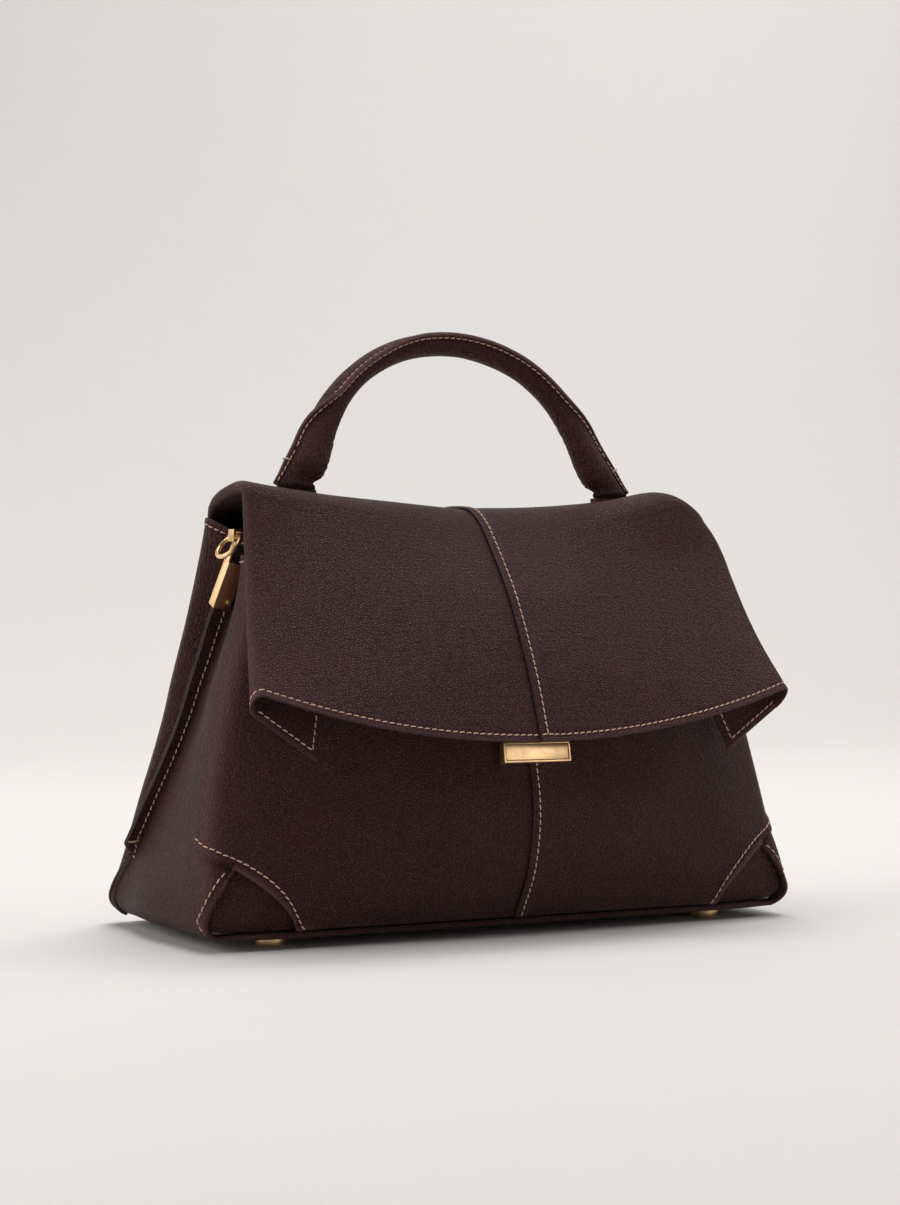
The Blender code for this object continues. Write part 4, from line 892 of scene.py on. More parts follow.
def makeLining():
    # Suede bag inside the panels: rings from the middle of its floor up its walls to the mouth, and back
    # down inside at the wall's thickness.
    look = liningLook
    place = np.linspace(0, 2, look["columns"])
    shares = stops(0.0, (0.2, 10), (1.0, 26), (look["rowTop"], 14))
    grids = []
    for front in (True, False):
        p, s = np.meshgrid(place, shares)
        hinge = 0 if front else 1 - ease(p, 0.93, 1.0)
        top = mouthHeight(p, front) - mix(look["drop"], -look["hingeRise"], hinge)
        straight = bag["finStraight"] * bag["height"]
        upper = mix(straight, top, (s - 1) / (look["rowTop"] - 1))
        height = np.where(s <= 1, mix(look["floor"], straight, s), upper)
        depth = mix(look["deep"], look["wide"], ease(height / bag["height"], look["low"], look["high"]))
        depth = mix(depth, look["hingeDepth"], hinge * ease(height - top, -9 * mm, -2.5 * mm))
        grid = bodyPoint(p, height, front)
        grid = lifted(grid, -depth, 1 if front else -1)
        grid[..., 1] += bag["shift"]
        grids.append(grid)
    right = np.concatenate([grids[0][:, :-1], grids[1][:, ::-1]], axis=1)
    right[:, 0, 0] = right[:, -1, 0] = 0
    walls = np.concatenate([right, right[:, -2:0:-1] * (-1, 1, 1)], axis=1)
    middle = np.array([0, bag["shift"], look["floor"]])
    walls[0, :, 2] = look["floor"]
    floor = [mix(middle, walls[0], k) for k in (0.3, 0.65, 0.9)]
    outer = np.concatenate([np.stack(floor), walls])
    inward = unit((middle - outer) * (1, 1, 0)) * look["wall"]
    floorShare = np.clip(1 - np.arange(len(outer)) / 4, 0, 1)[:, None, None]
    inner = outer + inward * (1 - floorShare) + floorShare * (0, 0, look["wall"])
    lip = (outer[-1:] + inner[-1:]) / 2 + (0, 0, look["lip"])
    ringsPiece("bodyLining", np.concatenate([outer, lip, inner[::-1]]), [suede], "bag",
               ["body_lining"])


hingeRoll = {"reach": 126 * mm, "inset": 1.5 * mm, "drop": 0.4 * mm, "radius": 1.45 * mm}


def makeHingeRoll():
    # Tube of smooth leather along the hinge, which closes the seam while the flap turns. It follows the
    # bow of the back: y = middle + (edge - middle) * |x / width|^bow.
    look = hingeRoll
    width, _, _, backEdge, backMid = bodyRow(np.array(bag["height"]))
    x = look["reach"] * np.linspace(-1, 1, 121)
    y = mix(backMid, backEdge, np.abs(x / width) ** bag["bow"]) + bag["shift"] - look["inset"]
    spine = point(x, y, bag["height"] - look["drop"])
    turn = tau * np.arange(14) / 14
    rings = spine[:, None] + look["radius"] * point(0 * turn, np.cos(turn), np.sin(turn))[None]
    ringsPiece("hingeRoll", rings, [smoothed], "bag", fields=evenly(rings))


makeCorners()
makeBase()
makeHingeRoll()
makeEdgeRoll(True)
makeEdgeRoll(False)
makeLining()
print("bag: corners, base and lining")


# Flap. Rows are shares along it from the hinge to the hem: middle y and z, edge y and z, half width. The
# first row laps over the back, so that the hinge stays closed while the flap turns.

flap = {"roofSag": 1.3, "hemSag": 2.0, "sagChange": (0.30, 0.60), "fold": 4.5 * mm, "wing": 31 * mm,
        "drop": 17 * mm, "lean": 0.3, "reach": 0.06, "half": 127 * mm, "lap": 1.6 * mm, "tuck": 1.9 * mm,
        "liningDepth": 1.9 * mm, "hem": 3.1 * mm, "tip": 1.0 * mm, "shoulder": 6.5 * mm, "droop": 10 * mm,
        "crown": 2.4 * mm, "lapLift": 0.95 * mm, "groove": 0.30 * mm, "grooveWidth": 0.55 * mm}
flapRows = (
    (0.00, 0.274, 0.9900, 0.241, 0.9900, 0.791), (0.04, 0.249, 1.0155, 0.222, 1.0174, 0.792),
    (0.09, 0.194, 1.0275, 0.182, 1.0345, 0.794), (0.16, 0.037, 1.0333, 0.067, 1.0556, 0.796),
    (0.24, -0.164, 1.0323, -0.134, 1.0710, 0.798), (0.32, -0.366, 1.0214, -0.403, 1.0806, 0.800),
    (0.40, -0.530, 0.9876, -0.590, 1.0672, 0.805), (0.46, -0.650, 0.9453, -0.642, 1.0200, 0.810),
    (0.54, -0.800, 0.8856, -0.694, 0.9552, 0.817), (0.66, -1.000, 0.7960, -0.806, 0.8607, 0.832),
    (0.83, -1.269, 0.6269, -1.037, 0.7114, 0.862), (1.00, -1.455, 0.4680, -1.299, 0.5821, 0.891))
# Folded margin by share along the flap: shares of the fold's radius, the wing's width and its drop.
wingRows = ((0.00, 0.60, 0.22, 0.00), (0.32, 0.66, 0.26, 0.00), (0.52, 0.70, 0.42, 0.00),
            (0.66, 0.76, 0.82, 0.17), (0.83, 0.88, 1.10, 0.47), (1.00, 1.00, 1.00, 1.00))
flapAlong = stops(0.0, (0.12, 16), (0.48, 44), (0.92, 46), (1.0, 18))


def flapPoint(across, along, right=None):
    # Half of the flap: across 0 is the seam and 1 the fold. The middle sinks or rises to the edge by
    # across^sag, and the sag changes from the roof to the hem. The right half is a little wider, and its
    # shoulder droops by share^3; right None is the even shape.
    look = flap
    across, along = np.broadcast_arrays(across, along)
    middleY, middleZ, edgeY, edgeZ, half = follow(flapRows, along)
    low, high = look["sagChange"]
    share = np.abs(across) ** mix(look["roofSag"], look["hemSag"], ease(along, low, high))
    half = half * bag["halfWidth"]
    end = ease(np.abs(across), 0.3, 1.0)
    back = ease(along, 0.05, 0.22)
    ridge = back * (1 - ease(along, 0.40, 0.62))
    fold = follow(wingRows, along)[0] * look["fold"]
    droop = 0
    if right is not None:
        wider = 0.1 * fold + look["tip"] * ease(along, 0.75, 1) - look["shoulder"] * ridge
        half = half + end * np.where(right, wider, -fold)
        out = np.clip((np.abs(across) - 0.80) / 0.20, 0, 1.1) ** 3
        crown = look["crown"] * back * (1 - ease(along, 0.40, 0.58)) * hill(np.abs(across), 0.86, 0.16)
        droop = look["droop"] * back * (1 - ease(along, 0.34, 0.56)) * out - crown
        droop = np.where(right, droop, 0)
    return point(across * half, mix(middleY, edgeY, share) * bag["halfDepth"] + bag["shift"],
                 mix(middleZ, edgeZ, share) * bag["height"] + bag["gap"] - droop)


def flapSheet(over):
    # Half of the flap with its margin folded under: a half circle from the edge, then the wing.
    look = flap
    start = (-look["lap"] if over else look["tuck"]) / look["half"]
    acrossMain = stops(start, (0.08, 16), (0.85, 60), (1.0, 20))
    across, along = np.meshgrid(acrossMain, flapAlong)
    main = flapPoint(across, along, over)
    edge, inward = main[:, -1], facing(main)[:, -1]
    outward = unit(edge - flapPoint(1 - look["reach"], flapAlong, over))
    radius, width, drop = follow(wingRows, flapAlong)
    radius, width, drop = radius * look["fold"], width * look["wing"], drop * look["drop"]
    a = math.pi * np.linspace(0, 1, 17)[None, 1:, None]
    bend = edge[:, None] + inward[:, None] * radius[:, None, None] * (1 - np.cos(a)) \
        + outward[:, None] * radius[:, None, None] * np.sin(a)
    down = unit(np.array([0, look["lean"], -1]))
    bend = bend + down * 0.32 * drop[:, None, None] * (1 - np.cos(a)) / 2
    s = np.concatenate([np.linspace(0, 0.8, 17)[1:], np.linspace(0.8, 1, 9)[1:]])[None, :, None]
    wing = bend[:, -1:] - outward[:, None] * width[:, None, None] * s + down * 0.68 * drop[:, None, None] * s
    grid = np.concatenate([main, bend, wing], axis=1)
    columns = np.concatenate([acrossMain, 1 + np.linspace(0, 1, 17)[1:], 2 + s[0, :, 0]])
    fromHem = travelled(grid, 0)[-1:] - travelled(grid, 0)
    place = np.broadcast_to(columns, grid.shape[:2])
    alongGrid = np.broadcast_to(flapAlong[:, None], grid.shape[:2])
    x = grid[..., 0]
    fromWing = travelled(grid, 1)[:, -1:] - travelled(grid, 1)
    lift = -look["groove"] * hill(fromHem, look["hem"], look["grooveWidth"])
    lift += look["groove"] * (1 - ease(fromHem, 1.8 * mm, 3.2 * mm))
    lift -= 0.25 * mm * hill(fromWing, look["hem"], look["grooveWidth"]) * (place > 2)
    inMain = place < 1.5
    if over:
        lift += inMain * (look["lapLift"] * (1 - ease(x, 2.2 * mm, 7 * mm))
                          - look["groove"] * hill(x, look["lap"], look["grooveWidth"]))
    else:
        lift -= inMain * 0.5 * mm * (1 - ease(x, 2 * mm, 7 * mm))
    free = ease(fromHem, 5 * mm, 20 * mm) * ease(np.abs(x), 8 * mm, 24 * mm) * (1 - ease(place, 1.0, 1.3))
    seed = 31 + over
    lift += free * 0.45 * mm * wander(seed, x, fromHem, 42 * mm)
    # Faint drag lines near the side folds, where the leather turns over the ridge.
    drag = ease(place, 0.72, 0.98) * (1 - ease(place, 1.0, 1.4)) * ease(alongGrid, 0.38, 0.5)
    pull = wander(seed + 4, x - 0.25 * fromHem, fromHem * 0.16, 7 * mm)
    lift += drag * 0.22 * mm * pull * ease(fromHem, 6 * mm, 20 * mm)
    crease = 0.30 * drag * (0.6 + 0.4 * wander(seed + 7, x, fromHem, 16 * mm))
    wear = hill(fromHem, 0, 1.0 * mm) * 0.6 + 0.35 * hill(place, 1.25, 0.25)
    grid = lifted(grid, lift, -1)
    return {"grid": grid, "normal": -facing(grid), "columns": columns, "rows": flapAlong, "fromHem": fromHem,
            "fields": {"crease": np.clip(crease, 0, 1), "wear": np.clip(wear, 0, 1)}}


def rowFromHem(sheet, columns, distance):
    # Row value at a distance above the hem for each column.
    index = np.clip(np.searchsorted(sheet["columns"], columns), 0, len(sheet["columns"]) - 1)
    table = sheet["fromHem"]
    return np.array([np.interp(-distance, -table[:, i], sheet["rows"]) for i in index])


def flapSeams(sheet, over):
    runs = []
    if over:
        up = np.linspace(0.012, 0.986, 260)
        runs.append(onGrid(sheet, np.full(260, 1.7 * mm / flap["half"]), up))
    columns = np.linspace(-0.011 if over else 0.016, 2.0, 300)
    row = np.interp(columns, sheet["columns"], rowFromHem(sheet, sheet["columns"], flap["hem"]))
    runs.append(onGrid(sheet, columns, row))
    # The wing is sewn along its lower edge and up its inner edge; the thread shows on both sides.
    inner = 1 - flap["hem"] / flap["wing"]
    columns = np.linspace(2.0, 2 + inner, 40)
    row = np.interp(columns, sheet["columns"], rowFromHem(sheet, sheet["columns"], flap["hem"]))
    up = np.linspace(row[-1], 0.60, 80)
    widths = np.interp(up, [r[0] for r in wingRows], [r[2] for r in wingRows]) * flap["wing"]
    lower = onGrid(sheet, columns, row)
    rising = onGrid(sheet, 3 - flap["hem"] / widths, up)
    for points, normals in (lower, rising):
        runs.append((points, normals))
        runs.append((points - normals * bag["leather"], -normals))
    return runs


flapPaints = [pebbled, smoothed, edgePaint]
flapRight, flapLeft = flapSheet(True), flapSheet(False)
for name, sheet, right in (("flapRight", flapRight, True), ("flapLeft", flapLeft, False)):
    # The rows run from the hinge down, so the columns are turned round to face out.
    grid = sheet["grid"][:, ::-1] if right else sheet["grid"] * (-1, 1, 1)
    fields = {key: values[:, ::-1] if right else values for key, values in sheet["fields"].items()}
    leatherSheet(name, grid, bag["leather"], flapPaints, "flap",
                 ["flap_right" if right else "flap_left"], fields=fields, edge=0.55 * mm)
sewLines("flapStitches", "flap", flapSeams(flapRight, True) + mirroredRuns(flapSeams(flapLeft, False)))


def makeFlapLining():
    # Lining glued under the flap: the flap's surface moved in, short of the folds and the hem.
    across, along = np.meshgrid(np.linspace(-0.955, 0.955, 150), stops(0.06, (0.40, 34), (0.984, 62)))
    grid = flapPoint(across, along, across > 0)
    grid = lifted(grid, np.full(grid.shape[:2], -flap["liningDepth"]), -1)
    leatherSheet("flapLining", grid[:, ::-1], liningLook["wall"], [suede] * 3, "flap",
                 ["flap_lining"], edge=0.25 * mm)


makeFlapLining()
print("bag: flap")


# Handle, in its own frame: x across, y back and z up along its lean, from the foot axis.

handle = {"span": 182 * mm, "rise": 76.6 * mm, "arch": 0.901, "lean": math.radians(12.5), "swell": 0.45,
          "round": 11.6 * mm, "endWide": 16.5 * mm, "endThick": 13 * mm, "wall": 1.6 * mm, "gap": 0.02 * mm,
          "tabWide": 20 * mm, "tabThick": 6 * mm, "tabLength": 15 * mm, "welt": 3.2 * mm,
          "weltHalf": 1.2 * mm, "weltTop": math.radians(66), "weltFoot": math.radians(8),
          "weltTurn": math.radians(15), "slump": 4.5 * mm, "slumpFoot": 1 * mm, "hip": 1.7 * mm, "oval": 44,
          "plug": 1.5 * mm, "plugGap": 0.1 * mm, "cordPitch": 22 * mm}
handleAxis = np.array(next(j["pos_m"] for j in frame["joints"] if j["name"] == "handle_fold"))


def standing(x, y, z):
    # From the handle's frame to the bag's: leaned back about the foot axis, and slumped to one side.
    lean = handle["lean"]
    x = x + mix(handle["slump"], handle["slumpFoot"], ease(x / handle["span"], 0.2, 0.5))
    back = y * math.cos(lean) + z * math.sin(lean)
    return point(x, back, z * math.cos(lean) - y * math.sin(lean)) + handleAxis


def handlePath(share):
    # Arc of a circle over the middle, then a straight leg to the foot: share 0 is the top, 1 and -1 the
    # ends of the cover.
    look = handle
    radius = look["arch"] * look["span"] / 2
    centre = look["rise"] - radius
    foot = math.hypot(look["span"] / 2, centre)
    turn = math.atan2(look["span"] / 2, -centre) - math.acos(radius / foot)
    arc, leg = radius * turn, math.sqrt(foot ** 2 - radius ** 2) - look["tabLength"]
    run = np.abs(share) * (arc + leg)
    a = np.minimum(run / radius, turn)
    rest = np.maximum(run - arc, 0)
    side = np.sign(share)
    return side * (radius * np.sin(a) + math.cos(turn) * rest), \
        centre + radius * np.cos(a) - math.sin(turn) * rest, side * a, run


def weltedRings(x, z, turn, wide, thick, beta, welt, dents, inner=None):
    # Sections of the folded leather: an oval, and at the angle beta a welt with a rounded lip. Given
    # an inner wall, the sections are those of the hollow's oval.
    look = handle
    opening = math.asin(look["weltHalf"] / (look["round"] / 2))
    v = np.linspace(opening, tau - opening, look["oval"])[None]
    beta, wide, thick, welt = [value[:, None] for value in (beta, wide, thick, welt)]
    angle = beta + v
    off = inner or 0.0
    p = np.cos(angle) * (wide / 2 - off + dents * (not inner))
    q = np.sin(angle) * (thick / 2 - off + dents * (not inner))
    root = np.stack([np.cos(beta) * (wide / 2 - off), np.sin(beta) * (thick / 2 - off)], -1)
    out = unit(np.stack([np.cos(beta) / wide, np.sin(beta) / thick], -1))
    across = np.stack([-out[..., 1], out[..., 0]], -1)
    far = np.array([0.08, 0.34, 0.66, 0.90, 1.0, 0.90, 0.66, 0.34, 0.08])[None, :, None]
    wideness = np.array([-1.05, -0.92, -1.0, -0.80, 0, 0.80, 1.0, 0.92, 1.05])[None, :, None]
    if inner:
        lip = root + across * wideness * 0.8 * look["weltHalf"]
    else:
        lip = root + out * far * welt[..., None] + across * wideness * look["weltHalf"]
    p, q = np.concatenate([p, lip[..., 0]], 1), np.concatenate([q, lip[..., 1]], 1)
    x, z, turn = x[:, None], z[:, None], turn[:, None]
    return standing(x + np.sin(turn) * p, q, z + np.cos(turn) * p)


def weltRuns(x, z, turn, wide, thick, beta, welt, reach=0.30):
    # Stitch runs along both faces of the welt, near its root.
    root = np.stack([np.cos(beta) * wide / 2, np.sin(beta) * thick / 2], -1)
    out = unit(np.stack([np.cos(beta) / wide, np.sin(beta) / thick], -1))
    across = np.stack([-out[:, 1], out[:, 0]], -1)
    runs = []
    for face in (-1, 1):
        at = root + out * reach * welt[:, None] + across * face * handle["weltHalf"] * 0.93
        place = standing(x + np.sin(turn) * at[:, 0], at[:, 1], z + np.cos(turn) * at[:, 0])
        tip = at + across * face * mm
        away = standing(x + np.sin(turn) * tip[:, 0], tip[:, 1], z + np.cos(turn) * tip[:, 0]) - place
        runs.append((place, unit(away)))
    return runs


def handleShape(share):
    look = handle
    x, z, turn, run = handlePath(share)
    grow = ease(np.abs(share), look["swell"], 1)
    wide, thick = mix(look["round"], look["endWide"], grow), mix(look["round"], look["endThick"], grow)
    top = look["weltTop"] + look["weltTurn"] * ease(-share, 0.10, 0.45)
    beta = -mix(top, look["weltFoot"], ease(np.abs(share), 0.62, 0.93))
    hip = look["hip"] * ease(np.abs(share), 0.80, 1)
    x, z, wide = x - hip * np.sin(turn), z - hip * np.cos(turn), wide + hip
    return x, z, turn, wide, thick, beta, np.full(share.shape, look["welt"]), run


def tabShape(t, side=1):
    # The end of the leather below the cover: it flattens and turns level towards the foot axis, and
    # past t = 1 rounds off about it.
    look = handle
    endX, endZ, endTurn, _ = handlePath(np.array(1.0))
    down = (math.cos(endTurn), -math.sin(endTurn))
    inside = np.minimum(t, 1)
    at = mix(look["gap"], look["tabLength"], inside)
    past = np.clip(t - 1, 0, 1)
    flat = ease(inside, 0, 1)
    thick = mix(look["endThick"], look["tabThick"], flat) * np.sqrt(1 - past ** 2)
    wide = mix(look["endWide"], look["tabWide"], flat)
    turn = mix(endTurn, math.pi / 2, flat)
    hip = look["hip"] * (1 - ease(t, 0.55, 1.0))
    wide = wide + hip
    x, z = endX + down[0] * at, endZ + down[1] * at - look["tabThick"] / 2 * past
    x, z = x - hip * math.sin(endTurn), z - hip * math.cos(endTurn)
    beta = np.full(t.shape, -look["weltFoot"]) * (1 - flat)
    welt = look["welt"] * (1 - ease(t, 0.90, 1.3)) * (1 - 0.25 * flat)
    return side * x, z, side * turn, wide, thick, beta, welt


def weltFields(crease, lip=(0, 0, 0.2, 0.7, 0.8, 0.7, 0.2, 0, 0)):
    # Crease and wear round each section: the welt isn't creased, and its lip is worn.
    rows, oval = crease.shape
    wear = np.concatenate([np.zeros((rows, oval)), np.tile(lip, (rows, 1))], 1)
    return np.concatenate([crease, np.zeros((rows, len(lip)))], 1), wear


def makeHandle():
    look = handle
    share = np.linspace(-1, 1, 421)
    *shape, run = handleShape(share)
    v = np.linspace(0, tau, look["oval"])[None]
    foot = ease(np.abs(share), 0.52, 0.95)[:, None]
    bare = np.sin(v / 2) ** 2
    run = run[:, None] * np.sign(share)[:, None]
    dents = foot * bare * 0.24 * mm * wander(61, run, 9 * mm * v * 0.16, 1.25 * mm)
    dents = dents + bare * 0.16 * mm * wander(62, run, 9 * mm * v, 9 * mm)
    outer = weltedRings(*shape, dents)
    inner = weltedRings(*shape, dents, inner=look["wall"])
    crease, wear = weltFields(0.30 + 0.45 * foot * bare)
    fields = {"crease": np.concatenate([crease, crease[::-1]]).ravel(),
              "wear": np.concatenate([wear, wear[::-1]]).ravel()}
    ringsPiece("handleCover", np.concatenate([outer, inner[::-1]]), [smoothed], "handle",
               ["handle_cover"], loop=True, fields=fields)
    seam = np.linspace(-0.985, 0.985, 500)
    *shape, _ = handleShape(seam)
    runs = weltRuns(*shape)
    t = np.linspace(0.02, 0.96, 60)
    lower = [run for side in (1, -1) for run in weltRuns(*tabShape(t, side))]
    sewLines("handleStitches", "handle", runs + lower)
    # One strong stitch over the welt at each foot.
    bars = []
    for side in (1, -1):
        tack = [value[[20]] for value in tabShape(t, side)]
        for face in (0, 1):
            low, high = [weltRuns(*tack, reach=reach)[face] for reach in (0.05, 1.25)]
            bars.append((np.concatenate([low[0], high[0]]), np.concatenate([low[1], high[1]])))
    sewLines("handleTacks", "handle", bars, thick=stitch["tack"], whole=True)
    # Tabs, with the fold of the leather open on their inner side.
    t = np.concatenate([np.linspace(0, 1, 61), 1 + np.sin(np.linspace(0, 1, 10)[1:] * math.pi / 2) * 0.985])
    fold = hill(v, math.pi, 0.42) * ease(t, 0.15, 0.65)[:, None] * (1 - ease(t, 0.98, 1.3))[:, None]
    bare = np.sin(v / 2) ** 2 * (1 - ease(t, 0.8, 1.0))[:, None]
    dents = bare * 0.22 * mm * wander(63, t[:, None] * look["tabLength"], 9 * mm * v * 0.16, 1.3 * mm)
    dents = -1.5 * mm * fold + dents
    crease, wear = [np.concatenate([table[:1], table[:1], table]).ravel()
                    for table in weltFields(0.3 + 0.45 * bare)]
    # Each tab begins with a plug that stands up inside the cover.
    endTurn = handlePath(np.array(1.0))[2]
    for name, side in (("Right", 1), ("Left", -1)):
        rings = weltedRings(*tabShape(t, side), dents)
        plug = weltedRings(*tabShape(t[:1], side), dents[:1], inner=look["wall"] + look["plugGap"])
        up = np.array([-side * math.cos(endTurn), 0, math.sin(endTurn)]) * look["plug"]
        ringsPiece(f"handleTab{name}", np.concatenate([plug + up, plug, rings]), [smoothed], "handle",
                   [f"handle_tab_{name.lower()}"], fields={"crease": crease, "wear": wear})
    # Three-strand cord inside: radius * (0.86 + 0.14 |cos 1.5(angle - twist)|).
    share = np.linspace(-0.99, 0.99, 380)
    x, z, turn, wide, thick, _, _, run = handleShape(share)
    v = (tau * np.arange(30) / 30)[None]
    twist = (run * np.sign(share))[:, None] * tau / look["cordPitch"]
    lobes = 0.86 + 0.14 * np.abs(np.cos(1.5 * (v - twist)))
    less = 2 * (look["wall"] + look["gap"])
    p = np.cos(v) * lobes * (wide[:, None] - less) / 2
    q = np.sin(v) * lobes * (thick[:, None] - less) / 2
    x, z, turn = x[:, None], z[:, None], turn[:, None]
    ringsPiece("handleCord", standing(x + np.sin(turn) * p, q, z + np.cos(turn) * p), [cotton], "handle",
               ["handle_core"])


# Profile is the share of the oblong's size and of the rise from the flap to the pad's top.
pad = {"across": 0.7137, "along": 0.20, "halfAcross": 0.076, "halfAlong": 0.024, "power": 0.28,
       "lift": 0.3 * mm, "lip": 0.26 * mm,
       "profile": ((0.45, 0), (0.97, 0), (1.0, 0.25), (1.0, 0.85), (0.98, 1.0), (0.93, 1.0), (0.55, 1.0),
                   (0.35, 1.0))}


def padRing(scale, rise, top, count=64):
    # Rounded oblong |cos|^power, |sin|^power round the handle's foot, between the leather and the top.
    look = pad
    a = tau * np.arange(count) / count
    u, v = [np.sign(wave) * np.abs(wave) ** look["power"] for wave in (np.cos(a), np.sin(a))]
    ring = flapPoint(look["across"] + look["halfAcross"] * scale * u,
                     look["along"] + look["halfAlong"] * scale * v)
    ring[:, 2] = mix(ring[:, 2] + look["lift"], top, rise)
    return ring


def makePads():
    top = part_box("handle_patch_right")[1][2]
    rings = np.stack([padRing(scale, rise, top) for scale, rise in pad["profile"]])
    rings[4:6, :, 2] += pad["lip"]
    for name, side in (("Right", 1), ("Left", -1)):
        shift = np.array([handle["slumpFoot"] if side > 0 else handle["slump"], 0, 0])
        ringsPiece(f"handlePad{name}", rings * (side, 1, 1) + shift, [smoothed], "flap",
                   [f"handle_patch_{name.lower()}"], fields=evenly(rings))


makeHandle()
makePads()
print("bag: handle")


# Brass

ring = {"radius": 6.9 * mm, "wire": 1.15 * mm, "hinge": (122.652, 0.327, 192.074),
        "centre": (126.990, -0.595, 186.789), "axis": (0.207912, 0.978148, 0.0)}
foot = {"shank": 1.5, "profile": ((3.0, 0.0), (5.7, 0.0), (6.4, 0.10), (6.85, 0.45), (7.0, 1.0), (7.0, 4.1),
                                  (6.9, 4.5), (6.6, 4.7), (1.5, 4.7))}


def makeRing(side, name):
    # Torus: centre + spoke * (radius + wire * cos b) + normal * wire * sin b.
    centre, hinge = np.array(ring["centre"]) * mm, np.array(ring["hinge"]) * mm
    axis, down = np.array(ring["axis"]), unit(centre - hinge)
    normal = np.cross(axis, down)
    a, b = (tau * np.arange(96) / 96)[:, None, None], (tau * np.arange(28) / 28)[None, :, None]
    spoke = axis * np.cos(a) + down * np.sin(a)
    rings = centre + spoke * (ring["radius"] + ring["wire"] * np.cos(b)) + normal * ring["wire"] * np.sin(b)
    ringsPiece(f"strapRing{name}", rings * (side, 1, 1), [satinBrass], f"ring_{name.lower()}",
               [f"strap_ring_{name.lower()}"], loop=True)


def makeFoot(name):
    # The profile turned about the foot's middle, with its shank as long as the solid's.
    low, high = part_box(name)
    middle = (np.array(low) + np.array(high)) / 2 * (1, 1, 0)
    profile = [(radius * mm, height * mm) for radius, height in foot["profile"]]
    profile.append((foot["shank"] * mm, high[2]))
    plain = "".join(part.title() for part in name.split("_")[1:])
    ringsPiece(f"foot{plain}", turnedRings(profile) + middle, [satinBrass], "bag", [name])


for side, name in ((1, "Right"), (-1, "Left")):
    makeRing(side, name)
    softened(f"sideClamp{name}", f"side_clamp_{name.lower()}", satinBrass, "bag", 0.22 * mm)
    softened(f"clampRivet{name}", f"clamp_rivet_{name.lower()}", satinBrass, "bag", 0.18 * mm)
corners = ("front_left", "front_right", "back_left", "back_right")
for name in corners:
    makeFoot(f"foot_{name}")
softened("claspHousing", "clasp_housing", satinBrass, "bag", 0.16 * mm)
softened("claspButton", "clasp_button", satinBrass, "button", 0.12 * mm)
softened("claspStud", "clasp_stud", satinBrass, "bag", 0.3 * mm)
softened("claspBackplate", "clasp_backplate", deepBrass, "bag", 0.2 * mm)
softened("flapKeeper", "flap_keeper", satinBrass, "flap", 0.25 * mm)
for name in (*(f"washer_{name}" for name in corners), "clasp_spring"):
    slots = frame["nodes"][name].data.materials
    slots.clear()
    slots.append(satinBrass)
print("bag: brass parts")


# Stage, light and camera

def plainPaint(name, colour, roughness):
    paint = Paint(name, colour, roughness)
    speck = paint.noise(40 * mm, 3)
    paint.set(paint.shader, {"Base Color": paint.tint(speck, tuple(0.985 * c for c in colour), colour)})
    return paint.material


# The wall's two heights are above the curve.
stage = {"radius": 1.6, "back": 1.4, "front": -1.1, "left": -2.1, "right": 3.4, "wall": (1.0, 3.0),
         "colour": (0.722, 0.706, 0.700), "roughness": 0.9}


def makeBackdrop():
    # Floor that turns up into a wall on a quarter circle.
    radius, back = stage["radius"], stage["back"]
    t = np.linspace(0, math.pi / 2, 40)
    y = np.concatenate([[stage["front"], 0.0], back + radius * np.sin(t), [back + radius] * 2])
    z = np.concatenate([[0.0, 0.0], radius * (1 - np.cos(t)), [radius + rise for rise in stage["wall"]]])
    x = np.array([stage["left"], 0.0, stage["right"]])
    grid = point(x[None], y[:, None], z[:, None])
    mesh = bpy.data.meshes.new("backdrop")
    mesh.from_pydata(grid.reshape(-1, 3).tolist(), [], quads(*grid.shape[:2]).tolist())
    mesh.polygons.foreach_set("use_smooth", np.ones(len(mesh.polygons), bool))
    mesh.materials.append(plainPaint("paleFloor", stage["colour"], stage["roughness"]))
    linked("backdrop", mesh)


studio = {"faint": ((1.0, 0.975, 0.945, 1), 0.03), "room": ((0.74, 0.715, 0.695, 1), 1.0)}


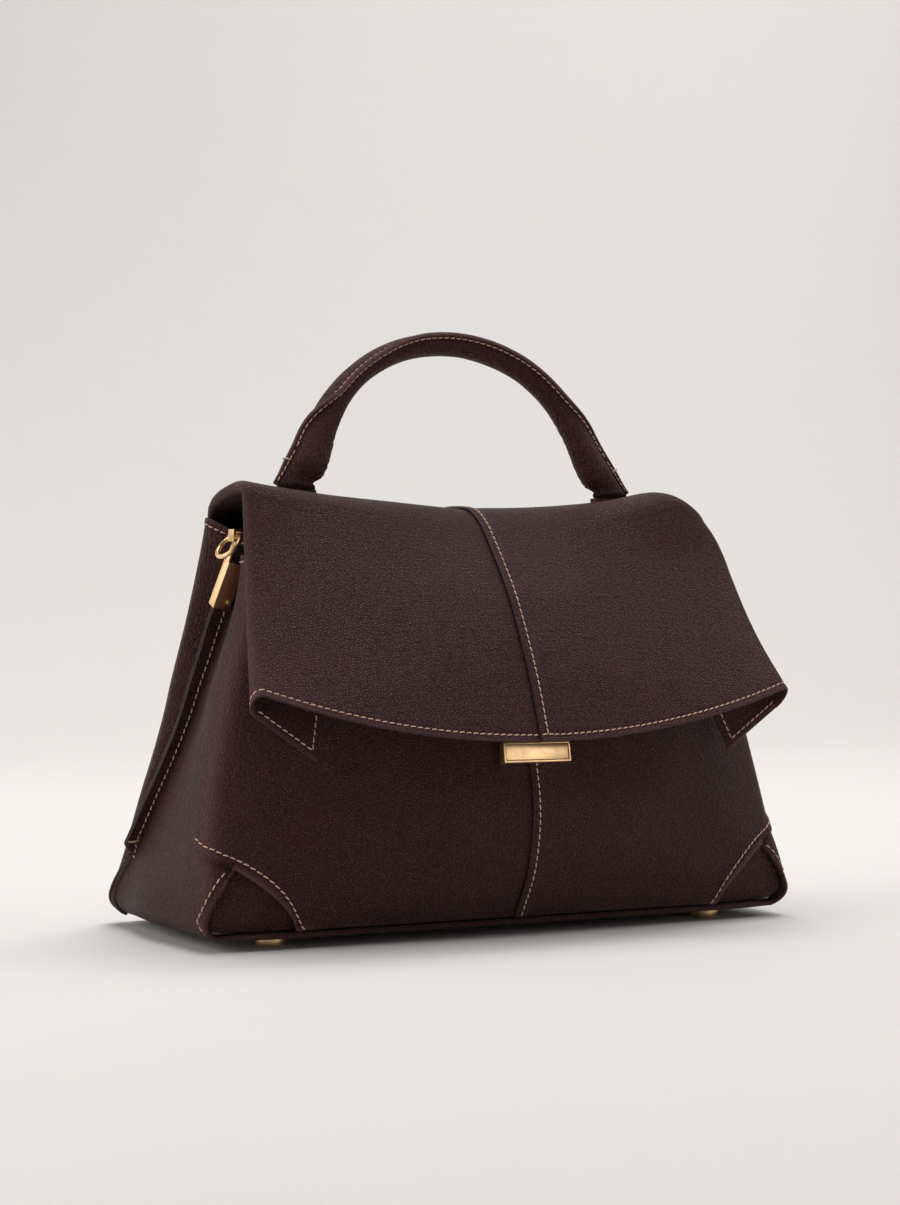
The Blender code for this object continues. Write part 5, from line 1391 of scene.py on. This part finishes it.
def makeStudio(tree):
    # Faint light from all round, and a pale plain room where the stage ends.
    seen, faint = tree.nodes.new("ShaderNodeLightPath"), tree.nodes["Background"]
    room = tree.nodes.new("ShaderNodeBackground")
    for node, key in ((faint, "faint"), (room, "room")):
        node.inputs["Color"].default_value, node.inputs["Strength"].default_value = studio[key]
    blend = tree.nodes.new("ShaderNodeMixShader")
    tree.links.new(seen.outputs["Is Camera Ray"], blend.inputs["Fac"])
    tree.links.new(faint.outputs["Background"], blend.inputs[1])
    tree.links.new(room.outputs["Background"], blend.inputs[2])
    tree.links.new(blend.outputs["Shader"], tree.nodes["World Output"].inputs["Surface"])


# Name, place, aim, size and power of each light.
lights = (
    ("topLight", (0.1, 0.0, 2.2), (0, 0, 0), 2.2, 37),
    ("topBackLight", (0.25, 0.9, 2.0), (0, 0, 0.1), 1.0, 6),
    ("leftLight", (-2.1, 0.2, 0.95), (0, 0, 0.1), 2.0, 24),
    ("backLeftLight", (-1.5, 2.1, 1.0), (0, 0, 0.1), 1.6, 8),
    ("rightLight", (2.0, -0.8, 1.2), (0, 0, 0.1), 1.2, 6),
    ("frontLight", (1.2, -2.2, 0.60), (0, 0, 0.1), 1.2, 6.5),
    ("wallLightRight", (2.8, 1.2, 2.6), (2.0, 3.0, 0.6), 1.6, 31.6),
    ("wallLightHigh", (1.4, 0.6, 3.2), (1.4, 3.0, 1.6), 1.6, 42.5))


def areaLight(name, place, aim, size, power, colour=(1.0, 0.98, 0.955)):
    lamp = bpy.data.lights.new(name, "AREA")
    lamp.shape, lamp.size, lamp.energy, lamp.color = "DISK", size, power, colour
    thing = linked(name, lamp)
    thing.location = place
    direction = unit(np.array(aim, float) - np.array(place, float))
    thing.rotation_euler = (math.acos(-direction[2]), 0, math.atan2(-direction[0], direction[1]))


makeBackdrop()
bpy.context.scene.view_settings.view_transform = "Standard"
world = bpy.data.worlds.new("studio")
world.use_nodes = True
makeStudio(world.node_tree)
bpy.context.scene.world = world
for light in lights:
    areaLight(*light)

view = {"place": (-0.5413, -1.039058, 0.1494), "turn": (90.53, 0.0, -27.17), "focal": 2332, "height": 1205}
camera = bpy.data.cameras.new("photoView")
camera.sensor_width = 36
camera.lens = view["focal"] / view["height"] * camera.sensor_width
camera.clip_start = 0.05
eye = linked("photoView", camera)
eye.location = view["place"]
eye.rotation_euler = [math.radians(angle) for angle in view["turn"]]
bpy.context.scene.camera = eye
print("bag: stage ready")
